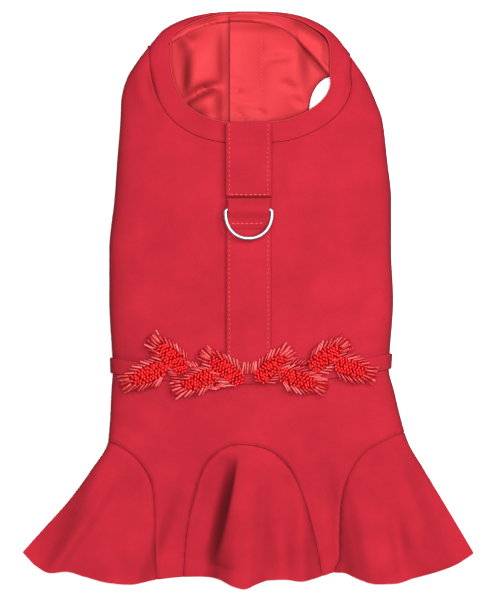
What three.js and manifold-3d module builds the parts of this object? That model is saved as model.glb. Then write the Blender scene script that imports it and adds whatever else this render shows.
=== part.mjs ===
// A dog dress of felted wool, lying flat with its back up and its neck toward +Y.
// Units are millimetres, +Z is up and z = 0 is the surface that the dress lies on.
import * as THREE from 'three';
import { mergeVertices } from 'three/addons/utils/BufferGeometryUtils.js';
import Module from 'manifold-3d';

const wasm = await Module();
wasm.setup();

// Driving dimensions.
const cloth = 1.5;            // felted wool wall
const satin = 1.0;            // satin lining wall
const seamGap = 0.3;          // space between two sewn pieces
const foldRadius = 3.6;       // outer radius of the side folds
const underTurn = 7;          // how far the back panel reaches in under the fold
const waistY = -72;           // the skirt's rays start here
const flapEndY = -60;         // lower edge of the belly flaps
const bandWidth = 11;         // neckband
const strapCentre = 0.5;
const strapWidth = 24.8;
const strapEndY = -36.9;
const neckY = 96.2;           // where the straps start at the back of the neck
const foldY = 55.4;           // folded end of the upper strap
const underFlapEdge = 7.9;    // free edge of the lower chest flap
const overFlapEdge = -10.2;   // free edge of the upper chest flap
const flapRise = 3.1;         // step of the upper flap where it laps over
const flapRamp = 6;           // length of that step
const flapMargin = 0.3;

// Body sections: y, both side folds and the crown height of the upper layer.
const sections = [
  { y: 157.6, left: -20.0, right: 19.5, crown: 7.0 },
  { y: 154.8, left: -33.3, right: 32.7, crown: 7.2 },
  { y: 148.2, left: -46.5, right: 44.8, crown: 7.8 },
  { y: 142.7, left: -51.4, right: 50.3, crown: 8.4 },
  { y: 131.7, left: -60.2, right: 58.0, crown: 9.6 },
  { y: 120.7, left: -66.8, right: 65.2, crown: 10.8 },
  { y: 109.7, left: -69.6, right: 70.1, crown: 12.0 },
  { y: 98.7, left: -70.1, right: 74.0, crown: 13.0 },
  { y: 76.7, left: -71.8, right: 76.7, crown: 14.4 },
  { y: 54.7, left: -73.4, right: 78.9, crown: 15.0 },
  { y: 27.2, left: -76.2, right: 78.9, crown: 15.0 },
  { y: -0.3, left: -76.2, right: 80.0, crown: 15.0 },
  { y: -27.8, left: -74.8, right: 78.2, crown: 14.4 },
  { y: -38.0, left: -74.2, right: 77.6, crown: 14.0 },
  { y: -49.8, left: -75.0, right: 80.4, crown: 13.4 },
  { y: -66.3, left: -75.8, right: 84.4, crown: 12.2 },
  { y: -78.0, left: -76.8, right: 88.0, crown: 11.2 },
  { y: -93.8, left: -86.1, right: 97.1, crown: 9.5 },
  { y: -110.3, left: -98.2, right: 107.0, crown: 8.0 },
  { y: -126.8, left: -113.0, right: 116.9, crown: 7.0 },
  { y: -139.0, left: -123.9, right: 124.1, crown: 6.0 },
];

// The hem from left to right: where each fold's crest or valley lies and how high it stands.
const hem = [
  { x: -123.9, y: -139.0, z: 3.6 },
  { x: -115.8, y: -147.1, z: 3.8 },
  { x: -108.6, y: -150.3, z: 5.4 },
  { x: -99.8, y: -149.6, z: 3.6 },
  { x: -89.9, y: -152.1, z: 6.0 },
  { x: -75.6, y: -155.4, z: 10.0 },
  { x: -64.6, y: -156.4, z: 9.0 },
  { x: -50.3, y: -154.3, z: 2.2 },
  { x: -35.5, y: -152.8, z: 1.9 },
  { x: -24.0, y: -152.6, z: 2.6 },
  { x: -18.6, y: -152.6, z: 4.6 },
  { x: -14.0, y: -153.9, z: 11.4 },
  { x: -8.0, y: -157.0, z: 14.2 },
  { x: -1.9, y: -158.4, z: 14.5 },
  { x: 4.7, y: -155.9, z: 12.2 },
  { x: 11.3, y: -154.0, z: 9.0 },
  { x: 20.6, y: -153.9, z: 7.0 },
  { x: 28.9, y: -154.8, z: 8.2 },
  { x: 40.4, y: -152.6, z: 2.4 },
  { x: 47.6, y: -150.5, z: 1.9 },
  { x: 52.0, y: -150.4, z: 3.2 },
  { x: 60.8, y: -153.5, z: 8.2 },
  { x: 70.1, y: -155.9, z: 11.5 },
  { x: 80.6, y: -155.7, z: 10.5 },
  { x: 91.6, y: -152.6, z: 8.4 },
  { x: 102.0, y: -149.9, z: 7.0 },
  { x: 114.1, y: -146.0, z: 4.6 },
  { x: 124.1, y: -139.9, z: 3.6 },
];

// The neck's edge on the upper layer, from the left shoulder round the back to the right one.
const neckEdge = [
  { x: -17.9, y: 156.5 },
  { x: -31.6, y: 151.5 },
  { x: -41.5, y: 144.9 },
  { x: -42.8, y: 137.2 },
  { x: -42.1, y: 125.1 },
  { x: -38.8, y: 114.1 },
  { x: -33.8, y: 106.4 },
  { x: -23.9, y: 99.8 },
  { x: -11.3, y: 96.7 },
  { x: 5.8, y: 96.7 },
  { x: 20.6, y: 97.8 },
  { x: 33.3, y: 102.9 },
  { x: 42.1, y: 110.0 },
  { x: 45.6, y: 116.9 },
  { x: 45.4, y: 123.5 },
  { x: 45.7, y: 131.2 },
  { x: 44.3, y: 143.8 },
  { x: 34.4, y: 151.5 },
  { x: 22.3, y: 155.4 },
];

// Seams of the three godets, each from its left end to its right end.
const leftArch = [
  { x: -84.0, y: -77.6 },
  { x: -75.6, y: -78.3 },
  { x: -63.5, y: -85.0 },
  { x: -53.6, y: -99.3 },
  { x: -51.0, y: -118.5 },
  { x: -50.9, y: -134.2 },
  { x: -50.2, y: -154.3 },
  { x: -50.0, y: -166.0 },
];
const centreArch = [
  { x: -36.0, y: -166.0 },
  { x: -35.5, y: -152.6 },
  { x: -33.6, y: -129.0 },
  { x: -29.4, y: -108.1 },
  { x: -22.8, y: -90.5 },
  { x: -11.8, y: -81.1 },
  { x: -1.6, y: -79.5 },
  { x: 12.9, y: -83.3 },
  { x: 23.4, y: -93.8 },
  { x: 31.1, y: -109.7 },
  { x: 36.6, y: -129.8 },
  { x: 40.6, y: -151.0 },
  { x: 42.2, y: -166.0 },
];
const rightArch = [
  { x: 46.2, y: -166.0 },
  { x: 47.6, y: -149.9 },
  { x: 50.2, y: -142.7 },
  { x: 50.3, y: -129.8 },
  { x: 51.4, y: -110.0 },
  { x: 54.5, y: -98.2 },
  { x: 63.5, y: -84.2 },
  { x: 75.9, y: -76.7 },
  { x: 85.5, y: -73.3 },
  { x: 94.0, y: -72.0 },
];

// Lower layer: far edge of the neck, the chest band's seam and the satin facing's seam.
const neckFarEdge = [
  { x: -52.0, y: 142.2 },
  { x: -46.5, y: 148.2 },
  { x: -33.3, y: 154.8 },
  { x: -17.9, y: 157.6 },
  { x: 1.4, y: 158.1 },
  { x: 19.5, y: 157.6 },
  { x: 32.7, y: 154.8 },
  { x: 44.8, y: 148.2 },
  { x: 52.0, y: 140.8 },
];
const chestSeam = [
  { x: -66.0, y: 139.0 },
  { x: -46.0, y: 137.5 },
  { x: -34.0, y: 141.0 },
  { x: -18.0, y: 145.5 },
  { x: 2.0, y: 147.0 },
  { x: 20.0, y: 145.5 },
  { x: 34.0, y: 140.5 },
  { x: 46.0, y: 133.8 },
  { x: 66.0, y: 132.5 },
];
const facingSeam = [
  { x: -50.0, y: 136.0 },
  { x: -36.6, y: 144.1 },
  { x: -19.5, y: 151.0 },
  { x: 1.4, y: 152.2 },
  { x: 18.4, y: 148.8 },
  { x: 31.1, y: 137.8 },
  { x: 44.3, y: 123.5 },
  { x: 53.6, y: 114.0 },
];
const armholes = [
  { x: -54.4, y: 102.0, across: 13.0, along: 19.8 },
  { x: 47.2, y: 102.6, across: 13.5, along: 20.4 },
];

// Beaded leaves: tip, base and full width.
const leaves = [
  { name: 'leaf_left_1', tipX: -70.4, tipY: -47.4, baseX: -44.3, baseY: -36.6, width: 15.5 },
  { name: 'leaf_left_2', tipX: -54.7, tipY: -19.7, baseX: -33.4, baseY: -39.4, width: 16.0 },
  { name: 'leaf_left_3', tipX: -42.4, tipY: -50.6, baseX: -16.8, baseY: -40.2, width: 14.0 },
  { name: 'leaf_left_4', tipX: -26.4, tipY: -27.4, baseX: -3.0, baseY: -45.6, width: 15.0 },
  { name: 'leaf_right_1', tipX: 25.0, tipY: -26.4, baseX: 4.4, baseY: -44.2, width: 14.5 },
  { name: 'leaf_right_2', tipX: 44.3, tipY: -48.5, baseX: 16.8, baseY: -40.4, width: 14.0 },
  { name: 'leaf_right_3', tipX: 55.8, tipY: -22.0, baseX: 33.6, baseY: -37.7, width: 15.5 },
  { name: 'leaf_right_4', tipX: 70.6, tipY: -42.1, baseX: 47.0, baseY: -34.4, width: 15.0 },
];
const leafLift = 1.9;         // underside of a leaf above the panel, clear of the belt
const leafEdge = 1.0;         // thickness at a leaf's edge
const leafCrown = 2.6;        // thickness along a leaf's rib
const leafSteps = 10;

// Belt and ring.
const beltWidth = 8.6;
const beltCloth = 1.1;
const beltLift = 0.4;         // the belt's underside above the panel
const beltMiddleY = -41.8;
const beltRise = 6.8;         // the belt's ends lie this much nearer the neck than its middle
const beltTilt = 1.2;         // and its right end this much nearer than that
const beltEndTurn = 38;       // degrees that it follows the side fold downward
const ringY = 48.95;          // the ring's bar
const wireRadius = 1.0;
const ringHalfWidth = 12.65;
const ringDepth = 15.2;
const ringCorner = 1.6;
const ringTilt = 9.5;         // degrees above flat at which the ring's arc clears the loop's tail
const ringSides = 8;
const loopHalfWidth = 11.2;
const loopCloth = 1.0;
const loopTailY = 38.2;
const barHeight = 1.4;        // bar's centre above the centre strap

const felt = new THREE.MeshStandardMaterial({ color: 0xc92c40, roughness: 0.95, metalness: 0 });
const satinRed = new THREE.MeshStandardMaterial({ color: 0xd8303c, roughness: 0.4, metalness: 0 });
const beads = new THREE.MeshStandardMaterial({ color: 0xe01c1e, roughness: 0.25, metalness: 0 });
const steel = new THREE.MeshStandardMaterial({ color: 0xd9dadc, roughness: 0.15, metalness: 1 });

// Value of one column of a table at a place along another column, with smooth slopes and no overshoot.
function readTable(table, along, column) {
  const places = table.map((row) => row[along]);
  const values = table.map((row) => row[column]);
  const rising = places[1] > places[0];
  if (!rising) {
    places.reverse();
    values.reverse();
  }
  const last = places.length - 1;
  const steps = values.slice(1).map((value, i) => (value - values[i]) / (places[i + 1] - places[i]));
  const slopes = values.map((value, i) => {
    if (i === 0) return steps[0];
    if (i === last) return steps[last - 1];
    if (steps[i - 1] * steps[i] <= 0) return 0;
    return (2 * steps[i - 1] * steps[i]) / (steps[i - 1] + steps[i]);
  });
  return (place) => {
    if (place <= places[0]) return values[0];
    if (place >= places[last]) return values[last];
    let i = 0;
    while (place > places[i + 1]) i += 1;
    const span = places[i + 1] - places[i];
    const t = (place - places[i]) / span;
    const rise = t * t * (3 - 2 * t);
    const early = t * (1 - t) * (1 - t) * span;
    const late = t * t * (t - 1) * span;
    return values[i] + (values[i + 1] - values[i]) * rise + slopes[i] * early + slopes[i + 1] * late;
  };
}

const leftAt = readTable(sections, 'y', 'left');
const rightAt = readTable(sections, 'y', 'right');
const crownAt = readTable(sections, 'y', 'crown');
const hemHalf = (hem[hem.length - 1].x - hem[0].x) / 2;
const hemCentre = (hem[hem.length - 1].x + hem[0].x) / 2;
const hemByShare = hem.map((row) => ({ share: (row.x - hemCentre) / hemHalf, y: row.y, z: row.z }));
const hemYAt = readTable(hemByShare, 'share', 'y');
const hemZAt = readTable(hemByShare, 'share', 'z');

// Dome of a section: 1 over the middle and 0 at the side folds, where share is -1 or 1.
function dome(share) {
  return Math.max(0, 1 - Math.abs(share) ** 3.3) ** 0.4;
}

function bodyHeight(x, y) {
  const centre = (leftAt(y) + rightAt(y)) / 2;
  const half = (rightAt(y) - leftAt(y)) / 2;
  return foldRadius + (crownAt(y) - foldRadius) * dome((x - centre) / half);
}

// A point of the outer surface. A column is a share across the top, an angle round a side fold,
// or a distance in under it; down is 0 above the waist and runs to 1 at the hem.
function skin(column, row) {
  const share = column.share;
  const sideY = row.down > 0 ? waistY + row.down * (hemYAt(share) - waistY) : row.y;
  const foldY = row.down > 0 ? waistY + row.down * (hemYAt(Math.sign(share || 1)) - waistY) : row.y;
  const centre = (leftAt(foldY) + rightAt(foldY)) / 2;
  const half = (rightAt(foldY) - leftAt(foldY)) / 2;
  const falling = row.down * row.down * (3 - 2 * row.down) * 0.5 + row.down * 0.5;
  const crown = foldRadius + (crownAt(foldY) - foldRadius) * dome(share);
  const height = crown * (1 - falling) + hemZAt(share) * falling;
  if (column.turn === undefined && column.under === undefined) {
    return new THREE.Vector3(centre + half * share, sideY, height);
  }
  const angle = column.turn === undefined ? Math.PI / 2 : column.turn;
  const reach = half - foldRadius + foldRadius * Math.cos(angle) - (column.under || 0);
  return new THREE.Vector3(centre + share * reach, sideY, foldRadius * (1 - Math.sin(angle)));
}

// A wall over a grid of points, from lift to lift + thickness along the grid's normals.
function wall(grid, lift, thickness) {
  const rows = grid.length;
  const columns = grid[0].length;
  const normalAt = (i, j) => {
    const up = grid[Math.min(i + 1, rows - 1)][j];
    const down = grid[Math.max(i - 1, 0)][j];
    const right = grid[i][Math.min(j + 1, columns - 1)];
    const left = grid[i][Math.max(j - 1, 0)];
    const along = new THREE.Vector3().subVectors(up, down);
    const across = new THREE.Vector3().subVectors(right, left);
    return across.cross(along).normalize();
  };
  const positions = [];
  for (const height of [lift, lift + thickness]) {
    for (let i = 0; i < rows; i += 1) {
      for (let j = 0; j < columns; j += 1) {
        positions.push(...grid[i][j].clone().addScaledVector(normalAt(i, j), height).toArray());
      }
    }
  }
  const layer = rows * columns;
  const index = [];
  const face = (a, b, c, d) => index.push(a, b, c, a, c, d);
  for (let i = 0; i < rows - 1; i += 1) {
    for (let j = 0; j < columns - 1; j += 1) {
      const a = i * columns + j;
      face(a, a + columns, a + columns + 1, a + 1);
      face(layer + a, layer + a + 1, layer + a + columns + 1, layer + a + columns);
    }
  }
  for (let j = 0; j < columns - 1; j += 1) {
    const end = (rows - 1) * columns + j;
    face(j, j + 1, layer + j + 1, layer + j);
    face(end + 1, end, layer + end, layer + end + 1);
  }
  for (let i = 0; i < rows - 1; i += 1) {
    const a = i * columns;
    const b = a + columns - 1;
    face(a + columns, a, layer + a, layer + a + columns);
    face(b, b + columns, layer + b + columns, layer + b);
  }
  return geometryOf(positions, index);
}

function geometryOf(positions, index) {
  const geometry = new THREE.BufferGeometry();
  geometry.setAttribute('position', new THREE.Float32BufferAttribute(positions, 3));
  geometry.setIndex(index);
  return geometry;
}

// A closed mesh as a solid, with its faces pointing out.
function solidOf(source) {
  const bare = source.clone();
  bare.deleteAttribute('normal');
  bare.deleteAttribute('uv');
  const merged = mergeVertices(bare, 1e-5);
  const triVerts = new Uint32Array(merged.index.array);
  const vertProperties = new Float32Array(merged.attributes.position.array);
  const solid = new wasm.Manifold(new wasm.Mesh({ numProp: 3, vertProperties, triVerts }));
  if (solid.volume() > 0) return solid;
  for (let i = 0; i < triVerts.length; i += 3) {
    [triVerts[i], triVerts[i + 1]] = [triVerts[i + 1], triVerts[i]];
  }
  return new wasm.Manifold(new wasm.Mesh({ numProp: 3, vertProperties, triVerts }));
}

function meshOf(name, solid, material) {
  const made = solid.getMesh();
  const geometry = geometryOf(Array.from(made.vertProperties), Array.from(made.triVerts));
  const mesh = new THREE.Mesh(geometry, material);
  mesh.name = name;
  return mesh;
}

// An upright prism over a plan outline.
function prism(outline, low, high) {
  const shape = new THREE.Shape(outline.map((point) => new THREE.Vector2(point.x, point.y)));
  const geometry = new THREE.ExtrudeGeometry(shape, { depth: high - low, bevelEnabled: false });
  geometry.translate(0, 0, low);
  return solidOf(geometry);
}

function ellipse(hole, grow) {
  const steps = 28;
  const curve = new THREE.EllipseCurve(hole.x, hole.y, hole.across + grow, hole.along + grow);
  return curve.getPoints(steps).slice(0, steps);
}

// A smooth line through a table's points.
function lineThrough(table, steps) {
  const points = table.map((point) => new THREE.Vector3(point.x, point.y, 0));
  const curve = new THREE.CatmullRomCurve3(points, false, 'centripetal');
  return curve.getSpacedPoints(steps);
}

// The same line moved sideways, to its left when distance is positive.
function moveLine(points, distance) {
  return points.map((point, i) => {
    const before = points[Math.max(i - 1, 0)];
    const after = points[Math.min(i + 1, points.length - 1)];
    const along = new THREE.Vector3().subVectors(after, before).normalize();
    return new THREE.Vector3(point.x - along.y * distance, point.y + along.x * distance, 0);
  });
}

const beyond = 200;           // far outside the dress
const corner = (x, y) => new THREE.Vector3(x, y, 0);

// Rows of the body at which both layers are sampled, from the neck to the waist.
const shoulderRows = [157.6, 154.8, 151.5, 148.2, 142.7, 137];
const sideRows = [131.7, 120.7, 109.7, 98.7, 76.7, 54.7, 27.2, -0.3, -18, -28, -38, -49];
const bodyRows = [...shoulderRows, ...sideRows, flapEndY, waistY];

// Columns across the top: the hem's folds, the middles of wide spaces and more of them at the side folds.
const widestStep = 0.075;
const edgeShares = [0.97, 0.99, 0.998];
function topColumns() {
  const shares = new Set([...edgeShares, ...edgeShares.map((share) => -share)]);
  hemByShare.forEach((row, i) => {
    shares.add(row.share);
    if (i > 0 && row.share - hemByShare[i - 1].share > widestStep) {
      shares.add((row.share + hemByShare[i - 1].share) / 2);
    }
  });
  return Array.from(shares).sort((a, b) => a - b).map((share) => ({ share }));
}

// Upper layer: one wall for the whole back, cut into its pieces along the seams.
function upperLayer() {
  const turns = [30, 60, 90].map((degrees) => THREE.MathUtils.degToRad(degrees));
  const side = (share) => [
    ...turns.map((turn) => ({ share, turn })),
    { share, under: underTurn - foldRadius },
  ];
  const columns = [...side(-1).reverse(), ...topColumns(), ...side(1)];
  const skirtRows = [0.08, 0.18, 0.3, 0.43, 0.57, 0.71, 0.86, 1];
  const rows = [
    ...bodyRows.map((y) => ({ y, down: 0 })),
    ...skirtRows.map((down) => ({ down })),
  ];
  const grid = rows.map((row) => columns.map((column) => skin(column, row))).reverse();
  return solidOf(wall(grid, -cloth, cloth));
}

// Plan area inside the neck, grown outward by the given width.
function neckArea(grow) {
  const line = moveLine(lineThrough(neckEdge, 44), -grow);
  return prism([corner(line[0].x, beyond), ...line, corner(line[line.length - 1].x, beyond)], -1, 40);
}

function godetArea(name, grow) {
  const arches = { left: leftArch, centre: centreArch, right: rightArch };
  const side = { left: 1, centre: 1, right: 1 }[name];
  const line = moveLine(lineThrough(arches[name], name === 'centre' ? 34 : 22), grow * side);
  const ends = {
    left: [corner(line[line.length - 1].x, -beyond), corner(-beyond, -beyond), corner(-beyond, line[0].y)],
    centre: [corner(line[line.length - 1].x, -beyond), corner(line[0].x, -beyond)],
    right: [corner(beyond, line[line.length - 1].y), corner(beyond, -beyond), corner(line[0].x, -beyond)],
  };
  return prism([...line, ...ends[name]], -1, 40);
}

const pieces = new THREE.Group();
const add = (name, solid, material) => pieces.add(meshOf(name, solid, material));

const half = seamGap / 2;
const upper = upperLayer();
let panel = upper.subtract(neckArea(bandWidth + half));
for (const name of ['left', 'centre', 'right']) {
  panel = panel.subtract(godetArea(name, half));
  add(`godet_${name}`, upper.intersect(godetArea(name, -half)), felt);
}
add('back_panel', panel, felt);

const aboveChest = prism([[-1, -1], [1, -1], [1, 1], [-1, 1]].map(([x, y]) => corner(x * beyond, y * beyond)),
  cloth + half, 40);
const band = upper.intersect(neckArea(bandWidth - half)).subtract(neckArea(0)).intersect(aboveChest);
add('neckband', band, felt);

// Lower layer: chest band, flaps and their satin.
function flapArea(from, to, inset, topLine, thickness) {
  const ys = [flapEndY + inset, ...sideRows.toReversed()];
  const fromLine = (side, at) => ys.map((y) => corner(at(y) + side * (underTurn + inset), y));
  const topPoints = topLine.filter((point) => point.x > from && point.x < to);
  const topAt = (x) => readTable(topLine, 'x', 'y')(x);
  const outline = [];
  const leftEdge = from > -beyond ? [corner(from, flapEndY + inset)] : fromLine(1, leftAt);
  const rightEdge = to < beyond ? [corner(to, flapEndY + inset)] : fromLine(-1, rightAt);
  outline.push(...rightEdge);
  if (to < beyond) outline.push(corner(to, topAt(to)));
  const kept = topPoints.filter((point) => {
    const room = underTurn + inset;
    return point.x > leftAt(point.y) + room && point.x < rightAt(point.y) - room;
  });
  outline.push(...kept.reverse());
  if (from > -beyond) outline.push(corner(from, topAt(from)));
  outline.push(...leftEdge.reverse());
  let area = prism(outline, -1, 40);
  armholes.forEach((hole) => {
    area = area.subtract(prism(ellipse(hole, thickness === satin ? 0.6 : 0), -2, 41));
  });
  return area;
}

// A level sheet, or one that steps up where it laps over the other flap.
function flapSheet(low, thickness, steps) {
  const rampStart = underFlapEdge + 0.9;
  const ends = [overFlapEdge - 20, rampStart, rampStart + flapRamp, beyond];
  const rises = steps ? [flapRise, flapRise, 0, 0] : [0, 0, 0, 0];
  const bottom = ends.map((x, i) => corner(steps ? x : (x < 0 ? -beyond : x), low + rises[i]));
  const top = bottom.map((point) => corner(point.x, point.y + thickness)).reverse();
  const shape = new THREE.Shape([...bottom, ...top].map((point) => new THREE.Vector2(point.x, point.y)));
  const geometry = new THREE.ExtrudeGeometry(shape, { depth: 2 * beyond, bevelEnabled: false });
  geometry.rotateX(Math.PI / 2);
  geometry.translate(0, beyond, 0);
  return solidOf(geometry);
}

const chestTop = moveLine(lineThrough(chestSeam, 24), -half);
const satinTop = moveLine(lineThrough(facingSeam, 24), -half);
const satinLow = cloth + seamGap;
add('chest_flap_left', flapSheet(0, cloth, false)
  .intersect(flapArea(-beyond, underFlapEdge, flapMargin, chestTop, cloth)), felt);
add('chest_flap_right', flapSheet(0, cloth, true)
  .intersect(flapArea(overFlapEdge, beyond, flapMargin, chestTop, cloth)), felt);
add('lining_left', flapSheet(satinLow, satin, false)
  .intersect(flapArea(-beyond, underFlapEdge - 0.5, 0.9, satinTop, satin)), satinRed);
add('lining_right', flapSheet(satinLow, satin, true)
  .intersect(flapArea(overFlapEdge + 0.5, beyond, 0.9, satinTop, satin)), satinRed);

const farLine = lineThrough(neckFarEdge, 32);
const chestBandArea = prism([...farLine, ...moveLine(lineThrough(chestSeam, 24), half).reverse()], 0, cloth - seamGap);
add('neckband_chest', chestBandArea.intersect(neckArea(bandWidth - half)), felt);
const facingOuter = moveLine(farLine, -3.8).filter((point) => Math.abs(point.x) < 46);
let facing = prism([...facingOuter, ...moveLine(lineThrough(facingSeam, 24), half).reverse()],
  satinLow, satinLow + satin);
armholes.forEach((hole) => {
  facing = facing.subtract(prism(ellipse(hole, 0), -1, 40));
});
add('neck_facing', facing, satinRed);

// Straps on the middle of the back.
function patch(fromX, toX, fromY, toY, lift, thickness, columns, rows) {
  const grid = [];
  for (let i = 0; i <= rows; i += 1) {
    const y = THREE.MathUtils.lerp(fromY, toY, i / rows);
    const line = [];
    for (let j = 0; j <= columns; j += 1) {
      const x = THREE.MathUtils.lerp(fromX, toX, j / columns);
      line.push(new THREE.Vector3(x, y, bodyHeight(x, y)));
    }
    grid.push(line);
  }
  return solidOf(wall(grid, lift, thickness));
}

const strapLeft = strapCentre - strapWidth / 2;
const strapRight = strapCentre + strapWidth / 2;
add('centre_strap', patch(strapLeft, strapRight, strapEndY, neckY, seamGap, cloth, 4, 22), felt);
const upperLift = cloth + 2 * seamGap;
add('upper_strap', patch(strapLeft, strapRight, foldY, neckY, upperLift, cloth, 4, 8), felt);

// The ring loop: a strip that lies on the centre strap and arches over the ring's bar.
const strapTop = bodyHeight(strapCentre, ringY) + seamGap + cloth;
const barZ = strapTop + barHeight;
function ringLoop() {
  const eye = wireRadius + seamGap;
  const outer = eye + loopCloth;
  const low = strapTop + seamGap;
  const arc = (radius, from, to) => {
    const points = [];
    for (let i = 0; i <= 10; i += 1) {
      const angle = THREE.MathUtils.lerp(from, to, i / 10);
      points.push([ringY + radius * Math.cos(angle), barZ + radius * Math.sin(angle)]);
    }
    return points;
  };
  const dip = Math.asin((low - barZ) / eye);
  const shoulder = Math.asin((low + loopCloth - barZ) / outer);
  const profile = [
    [foldY - seamGap, low],
    [foldY - seamGap, low + loopCloth],
    ...arc(outer, shoulder, Math.PI - shoulder),
    [loopTailY, low + loopCloth],
    [loopTailY, low],
    ...arc(eye, Math.PI - dip, dip),
  ];
  const shape = new THREE.Shape(profile.map(([y, z]) => new THREE.Vector2(y, z)));
  const geometry = new THREE.ExtrudeGeometry(shape, { depth: 2 * loopHalfWidth, bevelEnabled: false });
  const turn = new THREE.Matrix4().set(0, 0, 1, strapCentre - loopHalfWidth, 1, 0, 0, 0, 0, 1, 0, 0, 0, 0, 0, 1);
  geometry.applyMatrix4(turn);
  return solidOf(geometry);
}
add('ring_loop', ringLoop(), felt);

// The D-ring: a bar and an oval arc of round wire.
function ringPath() {
  const points = [];
  const straight = ringHalfWidth - ringCorner;
  for (let i = 0; i <= 6; i += 1) points.push([THREE.MathUtils.lerp(-straight, straight, i / 6), 0]);
  for (let i = 1; i <= 3; i += 1) {
    const angle = (i / 4) * (Math.PI / 2);
    points.push([straight + ringCorner * Math.sin(angle), -ringCorner * (1 - Math.cos(angle))]);
  }
  const arcSteps = 24;
  for (let i = 0; i <= arcSteps; i += 1) {
    const angle = (i / arcSteps) * Math.PI;
    const x = ringHalfWidth * Math.sign(Math.cos(angle)) * Math.abs(Math.cos(angle)) ** 0.92;
    points.push([x, -ringCorner - (ringDepth - ringCorner) * Math.sin(angle) ** 0.92]);
  }
  for (let i = 3; i >= 1; i -= 1) {
    const angle = (i / 4) * (Math.PI / 2);
    points.push([-straight - ringCorner * Math.sin(angle), -ringCorner * (1 - Math.cos(angle))]);
  }
  const tilt = THREE.MathUtils.degToRad(ringTilt);
  return points.map(([x, y]) => new THREE.Vector3(strapCentre + x, ringY + y * Math.cos(tilt),
    barZ - y * Math.sin(tilt)));
}

function dRing() {
  const path = ringPath();
  const count = path.length;
  const tilt = THREE.MathUtils.degToRad(ringTilt);
  const flatNormal = new THREE.Vector3(0, Math.sin(tilt), Math.cos(tilt));
  const positions = [];
  const index = [];
  path.forEach((point, i) => {
    const along = new THREE.Vector3().subVectors(path[(i + 1) % count], path[(i + count - 1) % count]);
    const outward = along.normalize().clone().cross(flatNormal);
    for (let k = 0; k < ringSides; k += 1) {
      const angle = (k / ringSides) * 2 * Math.PI;
      const spoke = outward.clone().multiplyScalar(Math.cos(angle) * wireRadius);
      spoke.addScaledVector(flatNormal, Math.sin(angle) * wireRadius);
      positions.push(...spoke.add(point).toArray());
      const a = i * ringSides + k;
      const b = i * ringSides + ((k + 1) % ringSides);
      const c = ((i + 1) % count) * ringSides + ((k + 1) % ringSides);
      const d = ((i + 1) % count) * ringSides + k;
      index.push(a, b, c, a, c, d);
    }
  });
  return solidOf(geometryOf(positions, index));
}
add('d_ring', dRing(), steel);

// The belt follows the body over both side folds.
function belt() {
  const turns = [0.35, 0.7, 1].map((part) => THREE.MathUtils.degToRad(beltEndTurn * part));
  const columns = [
    ...turns.map((turn) => ({ share: -1, turn })).reverse(),
    ...topColumns(),
    ...turns.map((turn) => ({ share: 1, turn })),
  ];
  const grid = [-1, 0, 1].map((edge) => columns.map((column) => {
    const rise = beltRise * column.share ** 2 + beltTilt * column.share;
    const y = beltMiddleY + rise + (edge * beltWidth) / 2;
    return skin(column, { y, down: 0 });
  }));
  return solidOf(wall(grid, beltLift, beltCloth));
}
add('belt', belt(), felt);

// A leaf pad: pointed at its tip, thickest along its rib, its underside above the panel.
function leafPad(leaf, grow, reach) {
  const axisX = leaf.baseX - leaf.tipX;
  const axisY = leaf.baseY - leaf.tipY;
  const length = Math.hypot(axisX, axisY);
  const ux = axisX / length;
  const uy = axisY / length;
  const rim = [];
  for (let i = 0; i < leafSteps; i += 1) {
    const t = i / leafSteps;
    rim.push([t, (leaf.width / 2) * Math.sin(Math.PI * t ** 0.85) ** 0.8]);
  }
  const around = [...rim, [1, 0], ...rim.slice(1).reverse().map(([t, w]) => [t, -w])];
  const place = (t, w, lift) => {
    const stretch = (t - 0.5) * (length + 2 * grow);
    const side = w === 0 ? 0 : w + Math.sign(w) * grow;
    const x = leaf.tipX + ux * (length / 2 + stretch) - uy * side;
    const y = leaf.tipY + uy * (length / 2 + stretch) + ux * side;
    return [x, y, bodyHeight(x, y) + lift];
  };
  const rings = [
    { scale: 1, lift: leafLift - reach },
    { scale: 1, lift: leafLift + leafEdge + reach },
    { scale: 0.55, lift: leafLift + leafCrown * 0.85 + reach },
  ];
  const positions = [];
  rings.forEach(({ scale, lift }) => {
    around.forEach(([t, w]) => positions.push(...place(0.5 + (t - 0.5) * scale, w * scale, lift)));
  });
  positions.push(...place(0.5, 0, leafLift - reach), ...place(0.5, 0, leafLift + leafCrown + reach));
  const count = around.length;
  const index = [];
  for (let k = 0; k < count; k += 1) {
    const next = (k + 1) % count;
    index.push(3 * count, k, next);
    for (let r = 0; r < 2; r += 1) {
      const a = r * count + k;
      const b = r * count + next;
      index.push(b, a, a + count, b, a + count, b + count);
    }
    index.push(2 * count + next, 2 * count + k, 3 * count + 1);
  }
  return solidOf(geometryOf(positions, index));
}

leaves.forEach((leaf, i) => {
  let pad = leafPad(leaf, 0, 0);
  leaves.slice(0, i).forEach((other) => {
    pad = pad.subtract(leafPad(other, seamGap, seamGap));
  });
  add(leaf.name, pad, beads);
});

export default pieces;
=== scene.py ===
import math
import random

import bmesh
import bpy
import numpy as np
from mathutils import Matrix, Vector
from mathutils.kdtree import KDTree


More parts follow.
